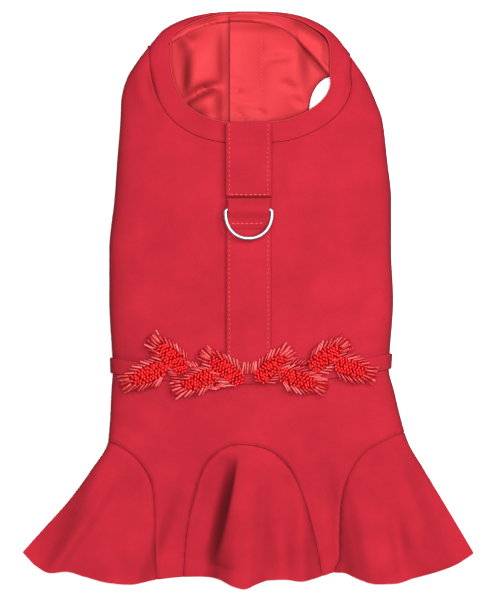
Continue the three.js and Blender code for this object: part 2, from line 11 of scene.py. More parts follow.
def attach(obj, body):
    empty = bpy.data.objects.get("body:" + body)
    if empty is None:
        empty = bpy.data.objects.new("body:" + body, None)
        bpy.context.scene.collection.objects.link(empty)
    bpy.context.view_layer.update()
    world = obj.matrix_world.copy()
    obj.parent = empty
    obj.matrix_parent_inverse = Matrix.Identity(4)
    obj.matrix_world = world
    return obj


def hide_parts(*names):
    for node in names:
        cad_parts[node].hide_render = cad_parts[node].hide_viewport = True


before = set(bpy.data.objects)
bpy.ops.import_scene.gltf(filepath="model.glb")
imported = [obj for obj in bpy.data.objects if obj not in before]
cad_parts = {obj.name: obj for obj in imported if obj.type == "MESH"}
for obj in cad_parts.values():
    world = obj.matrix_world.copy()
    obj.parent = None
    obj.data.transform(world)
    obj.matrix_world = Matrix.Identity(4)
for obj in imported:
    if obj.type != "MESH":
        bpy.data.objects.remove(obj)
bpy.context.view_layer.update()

random.seed(11)
mm = 0.001


# camera and light

view = dict(
    pixel=0.549,  # millimetres on the cloth for one pixel of a 500 x 600 picture
    rows=600,
    aimX=1.2,
    aimY=-0.3,
    clothZ=6.0,
    distance=1500.0,
)


def makeCamera():
    data = bpy.data.cameras.new("camera")
    data.sensor_width = 36.0
    data.lens = data.sensor_width * view["distance"] / (view["rows"] * view["pixel"])
    data.clip_start = 0.05
    data.clip_end = 20.0
    camera = bpy.data.objects.new("camera", data)
    camera.location = (view["aimX"] * mm, view["aimY"] * mm, (view["distance"] + view["clothZ"]) * mm)
    bpy.context.collection.objects.link(camera)
    bpy.context.scene.camera = camera


studio = dict(
    keyPlace=(1.1, 0.6, 1.25),
    keySize=0.6,
    keyPower=21.0,
    topPlace=(0.1, 0.15, 1.7),
    topSize=1.7,
    topPower=63.0,
    skyColour=(1.0, 1.0, 1.0),
    skyStrength=0.24,
    floorColour=(0.93, 0.93, 0.93),
    floorSize=6.0,
)


def makeLight(name, place, size, power):
    data = bpy.data.lights.new(name, "AREA")
    data.shape = "DISK"
    data.size = size
    data.energy = power
    lamp = bpy.data.objects.new(name, data)
    lamp.location = place
    lamp.rotation_euler = (-Vector(place)).to_track_quat("-Z", "Y").to_euler()
    bpy.context.collection.objects.link(lamp)


def makeStudio():
    makeLight("keyLight", studio["keyPlace"], studio["keySize"], studio["keyPower"])
    makeLight("topLight", studio["topPlace"], studio["topSize"], studio["topPower"])
    world = bpy.data.worlds.new("studioSky")
    world.use_nodes = True
    sky = world.node_tree.nodes["Background"]
    sky.inputs["Color"].default_value = (*studio["skyColour"], 1.0)
    sky.inputs["Strength"].default_value = studio["skyStrength"]
    bpy.context.scene.world = world
    bpy.context.scene.view_settings.view_transform = "Standard"
    bm = bmesh.new()
    bmesh.ops.create_grid(bm, x_segments=1, y_segments=1, size=studio["floorSize"] / 2)
    mesh = bpy.data.meshes.new("floor")
    bm.to_mesh(mesh)
    bm.free()
    floor = bpy.data.objects.new("floor", mesh)
    bpy.context.collection.objects.link(floor)
    paper = bpy.data.materials.new("paleFloor")
    paper.use_nodes = True
    shader = paper.node_tree.nodes["Principled BSDF"]
    shader.inputs["Base Color"].default_value = (*studio["floorColour"], 1.0)
    shader.inputs["Roughness"].default_value = 0.9
    mesh.materials.append(paper)


makeCamera()
makeStudio()
print("studio ready")


# materials

def newGroup(name, inputs, outputs):
    group = bpy.data.node_groups.new(name, "ShaderNodeTree")
    for label, kind, value in inputs:
        socket = group.interface.new_socket(name=label, in_out="INPUT", socket_type=kind)
        socket.default_value = value
    for label, kind in outputs:
        group.interface.new_socket(name=label, in_out="OUTPUT", socket_type=kind)
    nodes = group.nodes
    return group, nodes.new("NodeGroupInput"), nodes.new("NodeGroupOutput")


number = "NodeSocketFloat"
colour = "NodeSocketColor"
vector = "NodeSocketVector"


def setSockets(node, values):
    for socket, value in values.items():
        node.inputs[socket].default_value = value


def mathNode(nodes, links, operation, first, second):
    node = nodes.new("ShaderNodeMath")
    node.operation = operation
    for slot, value in zip(node.inputs, (first, second)):
        if isinstance(value, (int, float)):
            slot.default_value = value
        else:
            links.new(value, slot)
    return node.outputs[0]


def noiseNode(nodes, links, place, scale, detail, rough=0.55):
    node = nodes.new("ShaderNodeTexNoise")
    links.new(place, node.inputs["Vector"])
    if isinstance(scale, (int, float)):
        node.inputs["Scale"].default_value = scale
    else:
        links.new(scale, node.inputs["Scale"])
    node.inputs["Detail"].default_value = detail
    node.inputs["Roughness"].default_value = rough
    return node.outputs["Fac"]


def rampNode(nodes, links, value, low, high, fromMin=0.0, fromMax=1.0):
    ramp = nodes.new("ShaderNodeMapRange")
    links.new(value, ramp.inputs["Value"])
    setSockets(ramp, {"From Min": fromMin, "From Max": fromMax, "To Min": low, "To Max": high})
    return ramp.outputs["Result"]


def mixColours(nodes, links, share, first, second, blend="MIX"):
    # each of the two is a colour or a socket
    mix = nodes.new("ShaderNodeMix")
    mix.data_type = "RGBA"
    mix.blend_type = blend
    links.new(share, mix.inputs["Factor"])
    for slot, given in ((6, first), (7, second)):
        if isinstance(given, tuple):
            mix.inputs[slot].default_value = given
        else:
            links.new(given, mix.inputs[slot])
    return mix.outputs[2]


def makeNapGroup():
    # a matted nap: short fibres over a faint mottle of the dye
    group, given, out = newGroup(
        "matted nap",
        [("Place", vector, (0, 0, 0)), ("Fibre Scale", number, 1500.0), ("Mottle Scale", number, 60.0),
         ("Low Colour", colour, (0.5, 0.02, 0.04, 1)), ("High Colour", colour, (0.7, 0.04, 0.06, 1))],
        [("Colour", colour), ("Height", number)])
    nodes = group.nodes
    links = group.links
    fibres = noiseNode(nodes, links, given.outputs["Place"], given.outputs["Fibre Scale"], 4, 0.7)
    mottle = noiseNode(nodes, links, given.outputs["Place"], given.outputs["Mottle Scale"], 3)
    broad = mathNode(nodes, links, "MULTIPLY", mottle, 0.55)
    fine = mathNode(nodes, links, "MULTIPLY", fibres, 0.45)
    share = mathNode(nodes, links, "ADD", broad, fine)
    spread = rampNode(nodes, links, share, 0.0, 1.0, 0.35, 0.65)
    tone = mixColours(nodes, links, spread, given.outputs["Low Colour"], given.outputs["High Colour"])
    links.new(tone, out.inputs["Colour"])
    links.new(fibres, out.inputs["Height"])
    return group


napGroup = makeNapGroup()


def linear(red, green, blue):
    # a colour as a paint chart gives it, 0 to 255, in the renderer's own scale
    parts = []
    for part in (red, green, blue):
        share = part / 255
        parts.append(share / 12.92 if share <= 0.04045 else ((share + 0.055) / 1.055) ** 2.4)
    return (*parts, 1.0)


def newMaterial(name):
    made = bpy.data.materials.new(name)
    made.use_nodes = True
    return made, made.node_tree.nodes, made.node_tree.links, made.node_tree.nodes["Principled BSDF"]


# painted shade: the dark tone that the cloth's colour is multiplied toward where it turns away from the eye
paintedShadeTone = (0.12, 0.03, 0.04, 1.0)


def paintShadeOnSides(nodes, links, shader, tone, share, reach):
    # painted shade: the cloth's colour is darkened where it turns away from the eye, standing in for the
    # shade on its sloping sides and in its deep folds
    turned = nodes.new("ShaderNodeLayerWeight")
    turned.inputs["Blend"].default_value = 0.5
    depth = rampNode(nodes, links, turned.outputs["Facing"], 0.0, share, 0.02, reach)
    links.new(mixColours(nodes, links, depth, tone, paintedShadeTone, "MULTIPLY"), shader.inputs["Base Color"])


def addBump(nodes, links, shader, height, strength, distance):
    bump = nodes.new("ShaderNodeBump")
    bump.inputs["Strength"].default_value = strength
    bump.inputs["Distance"].default_value = distance
    links.new(height, bump.inputs["Height"])
    links.new(bump.outputs["Normal"], shader.inputs["Normal"])


# each look's shade share sets how far painted shade darkens that cloth where it turns away from the eye
feltLook = dict(
    stretch=(1.0, 1.0, 1.0),
    fibre=1700.0,
    mottle=45.0,
    bump=0.55,
    depth=0.00025,
    paintedShadeShare=0.62,
    surface={"Roughness": 0.92, "Specular IOR Level": 0.05, "Sheen Weight": 0.03, "Sheen Roughness": 0.5,
             "Sheen Tint": (1.0, 0.45, 0.5, 1.0)},
)
satinLook = dict(
    stretch=(1.0, 0.12, 1.0),
    fibre=2600.0,
    mottle=30.0,
    bump=0.18,
    depth=0.0001,
    paintedShadeShare=0.7,
    surface={"Roughness": 0.42, "Specular IOR Level": 0.12, "Specular Tint": (1.0, 0.35, 0.35, 1.0),
             "Anisotropic": 0.5},
)
# how far the cloth must turn from the eye before its painted shade is full
paintedShadeReach = 0.5


def makeCloth(name, look, low, high):
    made, nodes, links, shader = newMaterial(name)
    place = nodes.new("ShaderNodeTexCoord")
    stretch = nodes.new("ShaderNodeMapping")
    stretch.inputs["Scale"].default_value = look["stretch"]
    links.new(place.outputs["Object"], stretch.inputs["Vector"])
    nap = nodes.new("ShaderNodeGroup")
    nap.node_tree = napGroup
    links.new(stretch.outputs["Vector"], nap.inputs["Place"])
    setSockets(nap, {"Fibre Scale": look["fibre"], "Mottle Scale": look["mottle"], "Low Colour": low,
                     "High Colour": high})
    paintShadeOnSides(nodes, links, shader, nap.outputs["Colour"], look["paintedShadeShare"], paintedShadeReach)
    setSockets(shader, look["surface"])
    addBump(nodes, links, shader, nap.outputs["Height"], look["bump"], look["depth"])
    return made


def makeThread():
    made, nodes, links, shader = newMaterial("redThread")
    place = nodes.new("ShaderNodeTexCoord")
    twist = noiseNode(nodes, links, place.outputs["Object"], 4200.0, 2)
    links.new(rampNode(nodes, links, twist, 0.45, 0.75), shader.inputs["Roughness"])
    shader.inputs["Base Color"].default_value = linear(190, 52, 62)
    addBump(nodes, links, shader, twist, 0.4, 0.0001)
    return made


# painted light: Emission Strength 0.1 makes the beads glow faintly in their low tone, though they are no lamp
beadSurfaceAndGlow = {"Specular Tint": (1.0, 0.4, 0.4, 1.0), "Coat Weight": 0.1, "Coat Roughness": 0.15,
               "Emission Strength": 0.1}


def makeBeads(name, low, high, roughness):
    # glass beads: each bead's tone lies in its mesh's tone attribute, from 0 to 1; on the bugles the pale end
    # is a painted highlight, and all beads glow faintly in their low tone as painted light
    made, nodes, links, shader = newMaterial(name)
    tone = nodes.new("ShaderNodeAttribute")
    tone.attribute_name = "beadToneAndHighlight"
    links.new(mixColours(nodes, links, tone.outputs["Fac"], low, high), shader.inputs["Base Color"])
    setSockets(shader, {"Roughness": roughness, "Emission Color": low, **beadSurfaceAndGlow})
    return made


def makeSteel():
    made, nodes, links, shader = newMaterial("polishedSteel")
    place = nodes.new("ShaderNodeTexCoord")
    marks = noiseNode(nodes, links, place.outputs["Object"], 900.0, 3)
    links.new(rampNode(nodes, links, marks, 0.44, 0.5), shader.inputs["Roughness"])
    setSockets(shader, {"Base Color": (0.42, 0.42, 0.43, 1.0), "Metallic": 1.0})
    return made


felt = makeCloth("feltedWool", feltLook, linear(133, 23, 35), linear(149, 28, 42))
# the pad's deep red is partly a red backing and partly painted shade of the beads lying over it
padRedAndShade = makeCloth("leafBackingAndShade", feltLook, linear(124, 4, 14), linear(146, 7, 18))
satin = makeCloth("satinLining", satinLook, linear(155, 36, 43), linear(168, 44, 51))
thread = makeThread()
seedRed = makeBeads("seedBeadRed", linear(172, 10, 16), linear(194, 19, 25), 0.34)
# the bugles' pale tone is a painted highlight, as on glass tubes catching the light
bugleRedAndHighlight = makeBeads("bugleBeadRedAndHighlight", linear(150, 16, 26), linear(204, 88, 90), 0.3)
steel = makeSteel()
print("materials ready")


# the dress's tables, in millimetres, with z = 0 on the floor and the neck toward +Y

cut = dict(
    cloth=1.5,
    foldRadius=3.6,
    underTurn=7.0,
    waistY=-72.0,
    bandWidth=11.0,
    strapCentre=0.5,
    strapWidth=24.8,
    strapEndY=-36.9,
    neckY=96.2,
    foldY=55.4,
)

# y, both side folds and the crown's height
sections = dict(columns=("y", "left", "right", "crown"), rows=[
    (157.6, -20.0, 19.5, 7.0),
    (154.8, -33.3, 32.7, 7.2),
    (148.2, -46.5, 44.8, 7.8),
    (142.7, -51.4, 50.3, 8.4),
    (131.7, -60.2, 58.0, 9.6),
    (120.7, -66.8, 65.2, 10.8),
    (109.7, -69.6, 70.1, 12.0),
    (98.7, -70.1, 74.0, 13.0),
    (76.7, -71.8, 76.7, 14.4),
    (54.7, -73.4, 78.9, 15.0),
    (27.2, -76.2, 78.9, 15.0),
    (-0.3, -76.2, 80.0, 15.0),
    (-27.8, -74.8, 78.2, 14.4),
    (-38.0, -74.2, 77.6, 14.0),
    (-49.8, -75.0, 80.4, 13.4),
    (-66.3, -75.8, 84.4, 12.2),
    (-78.0, -76.8, 88.0, 11.2),
    (-93.8, -86.1, 97.1, 9.5),
    (-110.3, -98.2, 107.0, 8.0),
    (-126.8, -113.0, 116.9, 7.0),
    (-139.0, -123.9, 124.1, 6.0),
])

# the hem's crests and valleys from left to right
hem = dict(columns=("x", "y", "z"), rows=[
    (-123.9, -139.0, 3.6),
    (-115.8, -147.1, 3.8),
    (-108.6, -150.3, 5.4),
    (-99.8, -149.6, 3.6),
    (-89.9, -152.1, 6.0),
    (-75.6, -155.4, 10.0),
    (-64.6, -156.4, 9.0),
    (-50.3, -154.3, 2.2),
    (-35.5, -152.8, 1.9),
    (-25.4, -152.6, 2.4),
    (-20.6, -152.7, 4.6),
    (-16.0, -153.5, 8.4),
    (-8.0, -157.0, 13.4),
    (-1.9, -158.4, 14.5),
    (4.7, -155.9, 12.2),
    (11.3, -154.0, 9.0),
    (20.6, -153.9, 7.0),
    (28.9, -154.8, 8.2),
    (40.4, -152.6, 2.4),
    (47.6, -150.5, 1.9),
    (52.0, -150.4, 3.2),
    (60.8, -153.5, 8.2),
    (70.1, -155.9, 11.5),
    (80.6, -155.7, 10.5),
    (91.6, -152.6, 8.4),
    (102.0, -149.9, 7.0),
    (114.1, -146.0, 4.6),
    (124.1, -139.9, 3.6),
])

neckEdge = dict(columns=("x", "y"), rows=[
    (-6.0, 157.9), (-11.0, 157.3), (-18.5, 156.2), (-31.6, 151.5), (-41.5, 144.9), (-42.8, 137.2),
    (-42.1, 125.1), (-38.8, 114.1), (-33.8, 106.4), (-23.9, 99.8), (-11.3, 96.7), (5.8, 96.7), (20.6, 97.8),
    (33.3, 102.9), (42.1, 110.0), (45.6, 116.9), (45.4, 123.5), (45.7, 131.2), (45.0, 140.0), (42.6, 145.0),
    (37.0, 149.0), (29.6, 153.2), (20.0, 156.0), (11.0, 157.4), (6.0, 158.0),
])
leftArch = dict(columns=("x", "y"), rows=[
    (-84.0, -77.6), (-75.6, -78.3), (-63.5, -85.0), (-53.6, -99.3), (-51.0, -118.5), (-50.9, -134.2),
    (-50.2, -154.3), (-50.0, -166.0),
])
centreArch = dict(columns=("x", "y"), rows=[
    (-36.0, -166.0), (-35.5, -152.6), (-33.6, -129.0), (-29.4, -108.1), (-22.8, -90.5), (-11.8, -81.1),
    (-1.6, -79.5), (12.9, -83.3), (23.4, -93.8), (31.1, -109.7), (36.6, -129.8), (40.6, -151.0),
    (42.2, -166.0),
])
rightArch = dict(columns=("x", "y"), rows=[
    (46.2, -166.0), (47.6, -149.9), (50.2, -142.7), (50.3, -129.8), (51.4, -110.0), (54.5, -98.2),
    (63.5, -84.2), (75.9, -76.7), (85.5, -73.3), (94.0, -72.0),
])


def rowsOf(table):
    return [dict(zip(table["columns"], row)) for row in table["rows"]]


def ease(share):
    # from 0 to 1, flat at both ends
    share = np.clip(share, 0, 1)
    return share * share * (3 - 2 * share)


def column(table, name):
    place = table["columns"].index(name)
    return np.array([row[place] for row in table["rows"]], float)


def smoothRead(places, values):
    # reads a table between its rows with smooth slopes and no overshoot
    if places[0] > places[-1]:
        places = places[::-1]
        values = values[::-1]
    spans = np.diff(places)
    steps = np.diff(values) / spans
    before = steps[:-1]
    after = steps[1:]
    same = before * after > 0
    total = np.where(same, before + after, 1.0)
    middle = np.where(same, 2 * before * after / total, 0.0)
    slopes = np.concatenate([steps[:1], middle, steps[-1:]])

    def read(place):
        place = np.clip(place, places[0], places[-1])
        i = np.clip(np.searchsorted(places, place, side="right") - 1, 0, len(spans) - 1)
        t = (place - places[i]) / spans[i]
        rise = ease(t)
        early = t * (1 - t) ** 2 * spans[i]
        late = t * t * (t - 1) * spans[i]
        return values[i] + (values[i + 1] - values[i]) * rise + slopes[i] * early + slopes[i + 1] * late

    return read


sectionY = column(sections, "y")
leftAt = smoothRead(sectionY, column(sections, "left"))
rightAt = smoothRead(sectionY, column(sections, "right"))
crownAt = smoothRead(sectionY, column(sections, "crown"))
hemX = column(hem, "x")
hemShare = (hemX - (hemX[0] + hemX[-1]) / 2) / ((hemX[-1] - hemX[0]) / 2)
hemYAt = smoothRead(hemShare, column(hem, "y"))
hemZAt = smoothRead(hemShare, column(hem, "z"))


domePower = 3.3
domeRound = 0.4
horn = dict(fromX=34.0, reachX=20.0, fromY=149.0, reachY=6.0, level=5.4)


def dome(share):
    return np.maximum(0.0, 1 - np.abs(share) ** domePower) ** domeRound


def bodyHeight(x, y):
    centre = (leftAt(y) + rightAt(y)) / 2
    half = (rightAt(y) - leftAt(y)) / 2
    return cut["foldRadius"] + (crownAt(y) - cut["foldRadius"]) * dome((x - centre) / half)


def hornSink(x, y, z):
    # toward the middle of the far edge the upper layer comes down to the lower one
    inward = ease((horn["fromX"] - np.abs(x)) / horn["reachX"])
    share = inward * np.clip((y - horn["fromY"]) / horn["reachY"], 0, 1)
    return z + (horn["level"] - z) * share


def heightAt(x, y):
    return float(bodyHeight(np.array(x), np.array(y)))


def skin(share, turn, under, y, down):
    # a point of the outer cloth, by its column (share, turn, under) and its row (y, down)
    radius = cut["foldRadius"]
    waist = cut["waistY"]
    sideHem = (hemYAt(-1.0) * (1 - share) + hemYAt(1.0) * (1 + share)) / 2
    foldLine = np.where(down > 0, waist + down * (sideHem - waist), y)
    rowY = np.where(down > 0, waist + down * (hemYAt(share) - waist), y)
    centre = (leftAt(foldLine) + rightAt(foldLine)) / 2
    half = (rightAt(foldLine) - leftAt(foldLine)) / 2
    falling = (ease(down) + down) / 2
    top = (radius + (crownAt(foldLine) - radius) * dome(share)) * (1 - falling) + hemZAt(share) * falling
    folded = np.isfinite(turn)
    angle = np.where(folded, turn, 0.0)
    reach = half - radius + radius * np.cos(angle) - under
    x = centre + share * np.where(folded, reach, half)
    z = np.where(folded, radius * (1 - np.sin(angle)), top)
    return np.stack([x, rowY, z], axis=-1)


def lineThrough(table, count):
    # a smooth line through a table's points, evenly spaced
    points = np.stack([column(table, "x"), column(table, "y")], axis=1)
    steps = np.maximum(np.linalg.norm(np.diff(points, axis=0), axis=1), 1e-6)
    along = np.concatenate([[0], np.cumsum(steps ** 0.5)])
    slopes = np.gradient(points, along, axis=0)
    fine = np.linspace(0, along[-1], 900)
    i = np.clip(np.searchsorted(along, fine, side="right") - 1, 0, len(steps) - 1)
    span = along[i + 1] - along[i]
    t = ((fine - along[i]) / span)[:, None]
    span = span[:, None]
    rise = ease(t)
    smooth = points[i] + (points[i + 1] - points[i]) * rise
    smooth += slopes[i] * span * t * (1 - t) ** 2 + slopes[i + 1] * span * t * t * (t - 1)
    run = np.concatenate([[0], np.cumsum(np.linalg.norm(np.diff(smooth, axis=0), axis=1))])
    even = np.linspace(0, run[-1], count)
    return np.stack([np.interp(even, run, smooth[:, 0]), np.interp(even, run, smooth[:, 1])], axis=1)


def moveLine(line, distance):
    # the line moved to its left by the distance
    along = np.gradient(line, axis=0)
    along /= np.linalg.norm(along, axis=1)[:, None]
    return line + np.stack([-along[:, 1], along[:, 0]], axis=1) * distance


def nearest(line, x, y):
    # nearest points of a line, and the distance to it, positive on its left
    flatX = x.ravel()
    flatY = y.ravel()
    start = line[:-1]
    step = np.diff(line, axis=0)
    size = (step ** 2).sum(axis=1)
    best = np.full(flatX.shape, 1e9)
    side = np.ones(flatX.shape)
    spot = np.zeros((len(flatX), 2))
    for (ax, ay), (dx, dy), area in zip(start, step, size):
        t = np.clip(((flatX - ax) * dx + (flatY - ay) * dy) / area, 0, 1)
        px = ax + t * dx
        py = ay + t * dy
        gap = np.hypot(flatX - px, flatY - py)
        closer = gap < best
        best[closer] = gap[closer]
        turnSide = np.sign(dx * (flatY - ay) - dy * (flatX - ax))
        side[closer] = turnSide[closer]
        spot[closer, 0] = px[closer]
        spot[closer, 1] = py[closer]
    return (best * side).reshape(x.shape), spot.reshape(*x.shape, 2)


def trimCloth(points, edges):
    # keeps the side of each line that its sign gives; the nearest vertices slide onto the lines
    shape = points.shape[:2]
    gap = np.full(shape, 1e6)
    for line, sign in edges:
        distance, place = nearest(line, points[..., 0], points[..., 1])
        gap = np.minimum(gap, distance * sign)
    trimmed = points.copy()
    reach = np.full(shape, 1e9)
    every = slice(None)
    ahead = slice(None, -1)
    behind = slice(1, None)
    for first, second in (((every, ahead), (every, behind)), ((ahead, every), (behind, every))):
        for near, far in ((first, second), (second, first)):
            crossing = (gap[near] * gap[far] < 0) & (np.abs(gap[near]) <= np.abs(gap[far]))
            total = np.abs(gap[near]) + np.abs(gap[far])
            share = np.abs(gap[near]) / np.where(total > 0, total, 1)
            move = (points[far] - points[near]) * share[..., None]
            size = np.linalg.norm(move, axis=-1)
            better = crossing & (size < reach[near])
            trimmed[near] = np.where(better[..., None], points[near] + move, trimmed[near])
            reach[near] = np.where(better, size, reach[near])
    snapped = reach < 1e9
    gap = np.where(snapped, 0.0, gap)
    return trimmed, gap, gap >= 0


def gridMesh(points, keep):
    # a sheet of quads with its vertices at the given points, without those that aren't kept
    rows, columns = points.shape[:2]
    bm = bmesh.new()
    bmesh.ops.create_grid(bm, x_segments=columns - 1, y_segments=rows - 1, size=0.5)
    flat = np.array([vertex.co[:] for vertex in bm.verts])
    j = np.rint((flat[:, 0] + 0.5) * (columns - 1)).astype(int)
    i = np.rint((flat[:, 1] + 0.5) * (rows - 1)).astype(int)
    kept = keep[i, j]
    for vertex, place, stays in zip(bm.verts, points[i, j] * mm, kept):
        vertex.co = place
        vertex.tag = not stays
    for face in list(bm.faces):
        outside = [vertex for vertex in face.verts if vertex.tag]
        if len(outside) == 1:
            corner = face.verts[:].index(outside[0])
            bmesh.utils.face_split(face, face.verts[corner - 1], face.verts[(corner + 1) % len(face.verts)])
    gone = [vertex for vertex in bm.verts if vertex.tag]
    bmesh.ops.delete(bm, geom=gone, context="VERTS")
    loose = [vertex for vertex in bm.verts if not vertex.link_faces]
    bmesh.ops.delete(bm, geom=loose, context="VERTS")
    bmesh.ops.dissolve_degenerate(bm, dist=0.02 * mm, edges=bm.edges[:])
    if sum(face.normal.z * face.calc_area() for face in bm.faces) < 0:
        bmesh.ops.reverse_faces(bm, faces=bm.faces[:])
    return bm


def newObject(name, bm, materials):
    mesh = bpy.data.meshes.new(name)
    bm.to_mesh(mesh)
    bm.free()
    mesh.polygons.foreach_set("use_smooth", [True] * len(mesh.polygons))
    for made in materials:
        mesh.materials.append(made)
    piece = bpy.data.objects.new(name, mesh)
    bpy.context.collection.objects.link(piece)
    return piece


def declare(piece, node=None, body="dress"):
    # node is the solid that the piece replaces
    if node:
        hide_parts(node)
    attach(piece, body)


softEdge = 0.3
satinEdge = 0.12
leastFill = 0.3  # a cut fills at least this share of its own rectangle


def addWall(piece, thickness, bevel):
    # the cloth's thickness, inward from its outer side, with soft edges
    solid = piece.modifiers.new("clothWall", "SOLIDIFY")
    solid.thickness = thickness * mm
    solid.offset = -1.0
    solid.use_even_offset = False
    if bevel:
        soft = piece.modifiers.new("softEdge", "BEVEL")
        soft.width = bevel * mm
        soft.segments = 2
        soft.limit_method = "ANGLE"
        soft.angle_limit = math.radians(50)
        soft.harden_normals = True


def flatArea(points, keep):
    # the cloth's own area in square metres, without its thickness
    a = points[1:, :-1] - points[:-1, :-1]
    b = points[:-1, 1:] - points[:-1, :-1]
    size = np.linalg.norm(np.cross(a, b), axis=-1)
    whole = keep[:-1, :-1] & keep[1:, :-1] & keep[:-1, 1:] & keep[1:, 1:]
    return float(size[whole].sum()) * mm * mm


def layCloth(name, node, points, keep, thickness, bevel, materials, flat, extra=None):
    # extra is a strip of the same cloth that is turned under along a seam
    bm = gridMesh(points, keep)
    area = flatArea(points, keep)
    if extra is not None:
        whole = np.ones(extra.shape[:2], bool)
        strip = gridMesh(extra, whole)
        mesh = bpy.data.meshes.new("strip")
        strip.to_mesh(mesh)
        strip.free()
        bm.from_mesh(mesh)
        bpy.data.meshes.remove(mesh)
        area += flatArea(extra, whole)
    piece = newObject(name, bm, materials)
    addWall(piece, thickness, bevel)
    declare(piece, node)
    size = (flat[0] * mm, flat[1] * mm)
    area = min(max(area, leastFill * size[0] * size[1]), size[0] * size[1])
    return piece


crease = dict(taper=0.7, round=2.0, steep=1.25, leanAhead=5.0, leanBehind=0.9)


def addFolds(points, folds):
    # soft ridges and troughs, each along a line; a lean pushes the crest over its right side
    plan = points[..., :2].copy()
    for fold in rowsOf(folds):
        dx = fold["endX"] - fold["startX"]
        dy = fold["endY"] - fold["startY"]
        length = math.hypot(dx, dy)
        fromStart = plan - np.array([fold["startX"], fold["startY"]])
        along = (fromStart[..., 0] * dx + fromStart[..., 1] * dy) / length ** 2
        across = (fromStart[..., 1] * dx - fromStart[..., 0] * dy) / length
        across = across - fold["bow"] * 4 * along * (1 - along)
        width = np.where(across > 0, fold["leftWidth"], fold["rightWidth"])
        taper = np.sin(np.pi * np.clip(along, 0, 1)) ** crease["taper"]
        power = np.where((across < 0) & (fold["lean"] > 0), crease["steep"], crease["round"])
        points[..., 2] += fold["height"] * taper * np.exp(-(np.abs(across) / width) ** power)
        if fold["lean"]:
            reach = np.where(across > 0, crease["leanAhead"], crease["leanBehind"])
            push = fold["lean"] * taper * np.exp(-(across / reach) ** 2)
            points[..., 0] += push * dy / length
            points[..., 1] -= push * dx / length
    return points


# upper layer: the back, its skirt and the neckband are cut from one surface

upper = dict(
    shares=181,
    edgeShares=(0.9945, 0.998, 0.9995),
    foldAngles=(15, 30, 45, 60, 75, 90),
    underSteps=(1.2, 2.4, 3.4),
    bodyRows=165,
    skirtRows=62,
    topY=157.6,
    seamHalfGap=0.2,
    allowance=3.0,
    stripRoom=0.5,
    stripGap=0.05,
    hemHalf=124.0,
    floorGap=0.3,
    bandTop=142.0,
    archDrop=1.1,
    archWidth=2.0,
    neckDrop=0.45,
    neckWidth=1.3,
    hornEnd=13.0,
    hornTaper=0.16,
    hornSwell=0.02,
    hornStart=31.0,
    hornFromY=140.0,
)

upperFolds = dict(
    columns=("startX", "startY", "endX", "endY", "height", "leftWidth", "rightWidth", "bow", "lean"),
    rows=[
        (-54.6, 130.0, -49.4, 107.0, -1.3, 1.6, 1.1, -1.0, 0),
        (-61.0, 128.0, -53.0, 100.0, 1.1, 3.0, 4.0, -1.0, 0),
        (57.5, 132.0, 51.0, 104.0, -1.0, 2.4, 2.0, 1.5, 0),
        (64.0, 122.0, 57.0, 92.0, 0.7, 4.0, 3.0, 1.0, 0),
        (-66.0, 20.0, -20.0, 6.0, 0.35, 9.0, 9.0, 2.0, 0),
        (70.0, -8.0, 26.0, -18.0, -0.35, 9.0, 9.0, -2.0, 0),
        (-95.0, -28.5, 97.0, -25.1, -1.2, 1.6, 1.0, -10.6, 0),
        (-4.4, -84.0, -18.2, -146.0, 6.8, 13.0, 3.5, 1.2, 0.5),
        (-12.5, -86.0, -28.5, -146.0, -2.8, 4.5, 8.0, 1.2, 0),
        (-80.0, -92.0, -86.0, -150.0, 1.8, 13.0, 15.0, 1.0, 0),
        (-72.0, -138.0, -64.0, -160.0, -1.6, 6.0, 7.0, 0.0, 0),
        (66.0, -92.0, 74.0, -152.0, 1.6, 12.0, 11.0, 0.0, 0),
        (80.0, -112.0, 86.0, -156.0, -1.7, 4.0, 4.5, 0.0, 0),
        (88.0, -118.0, 100.0, -152.0, 1.5, 5.0, 6.0, 0.0, 0),
        (16.0, -120.0, 19.0, -158.0, -1.8, 6.0, 5.0, 0.0, 0),
        (-70.0, -70.0, -107.0, -158.0, 4.5, 17.0, 8.0, 0.0, 0),
        (72.0, -70.0, 109.0, -156.0, 4.2, 8.0, 17.0, 0.0, 0),
    ],
)


def upperGrid():
    shares = list(np.linspace(-1, 1, upper["shares"]))
    shares += list(upper["edgeShares"]) + [-share for share in upper["edgeShares"]]
    shares = sorted(shares)
    columns = [(share, np.nan, 0.0) for share in shares]
    radius = cut["foldRadius"]
    for sign, place in ((1, len(columns)), (-1, 0)):
        side = [(sign, math.radians(angle), 0.0) for angle in upper["foldAngles"]]
        side += [(sign, math.pi / 2, step) for step in upper["underSteps"]]
        columns = columns + side if sign > 0 else side[::-1] + columns
    share, turn, under = (np.array(part)[None, :] for part in zip(*columns))
    bodyY = np.linspace(upper["topY"], cut["waistY"], upper["bodyRows"])
    skirtDown = np.linspace(0, 1, upper["skirtRows"])[1:]
    y = np.concatenate([bodyY, np.full(len(skirtDown), cut["waistY"])])[:, None]
    down = np.concatenate([np.zeros(len(bodyY)), skirtDown])[:, None]
    points = skin(share + 0 * y, turn + 0 * y, under + 0 * y, y + 0 * share, down + 0 * share)
    top = np.isnan(turn + 0 * y)
    folded = addFolds(points.copy(), upperFolds)
    folded[..., 2] = hornSink(folded[..., 0], folded[..., 1], folded[..., 2])
    folded[..., 2] = np.maximum(folded[..., 2], cut["cloth"] + upper["floorGap"])
    return np.where(top[..., None], folded, points), top


def openLine(line):
    # the neck's line carried straight on past the far edge
    farAway = 220.0
    return np.concatenate([[(line[0, 0], farAway)], line, [(line[-1, 0], farAway)]])


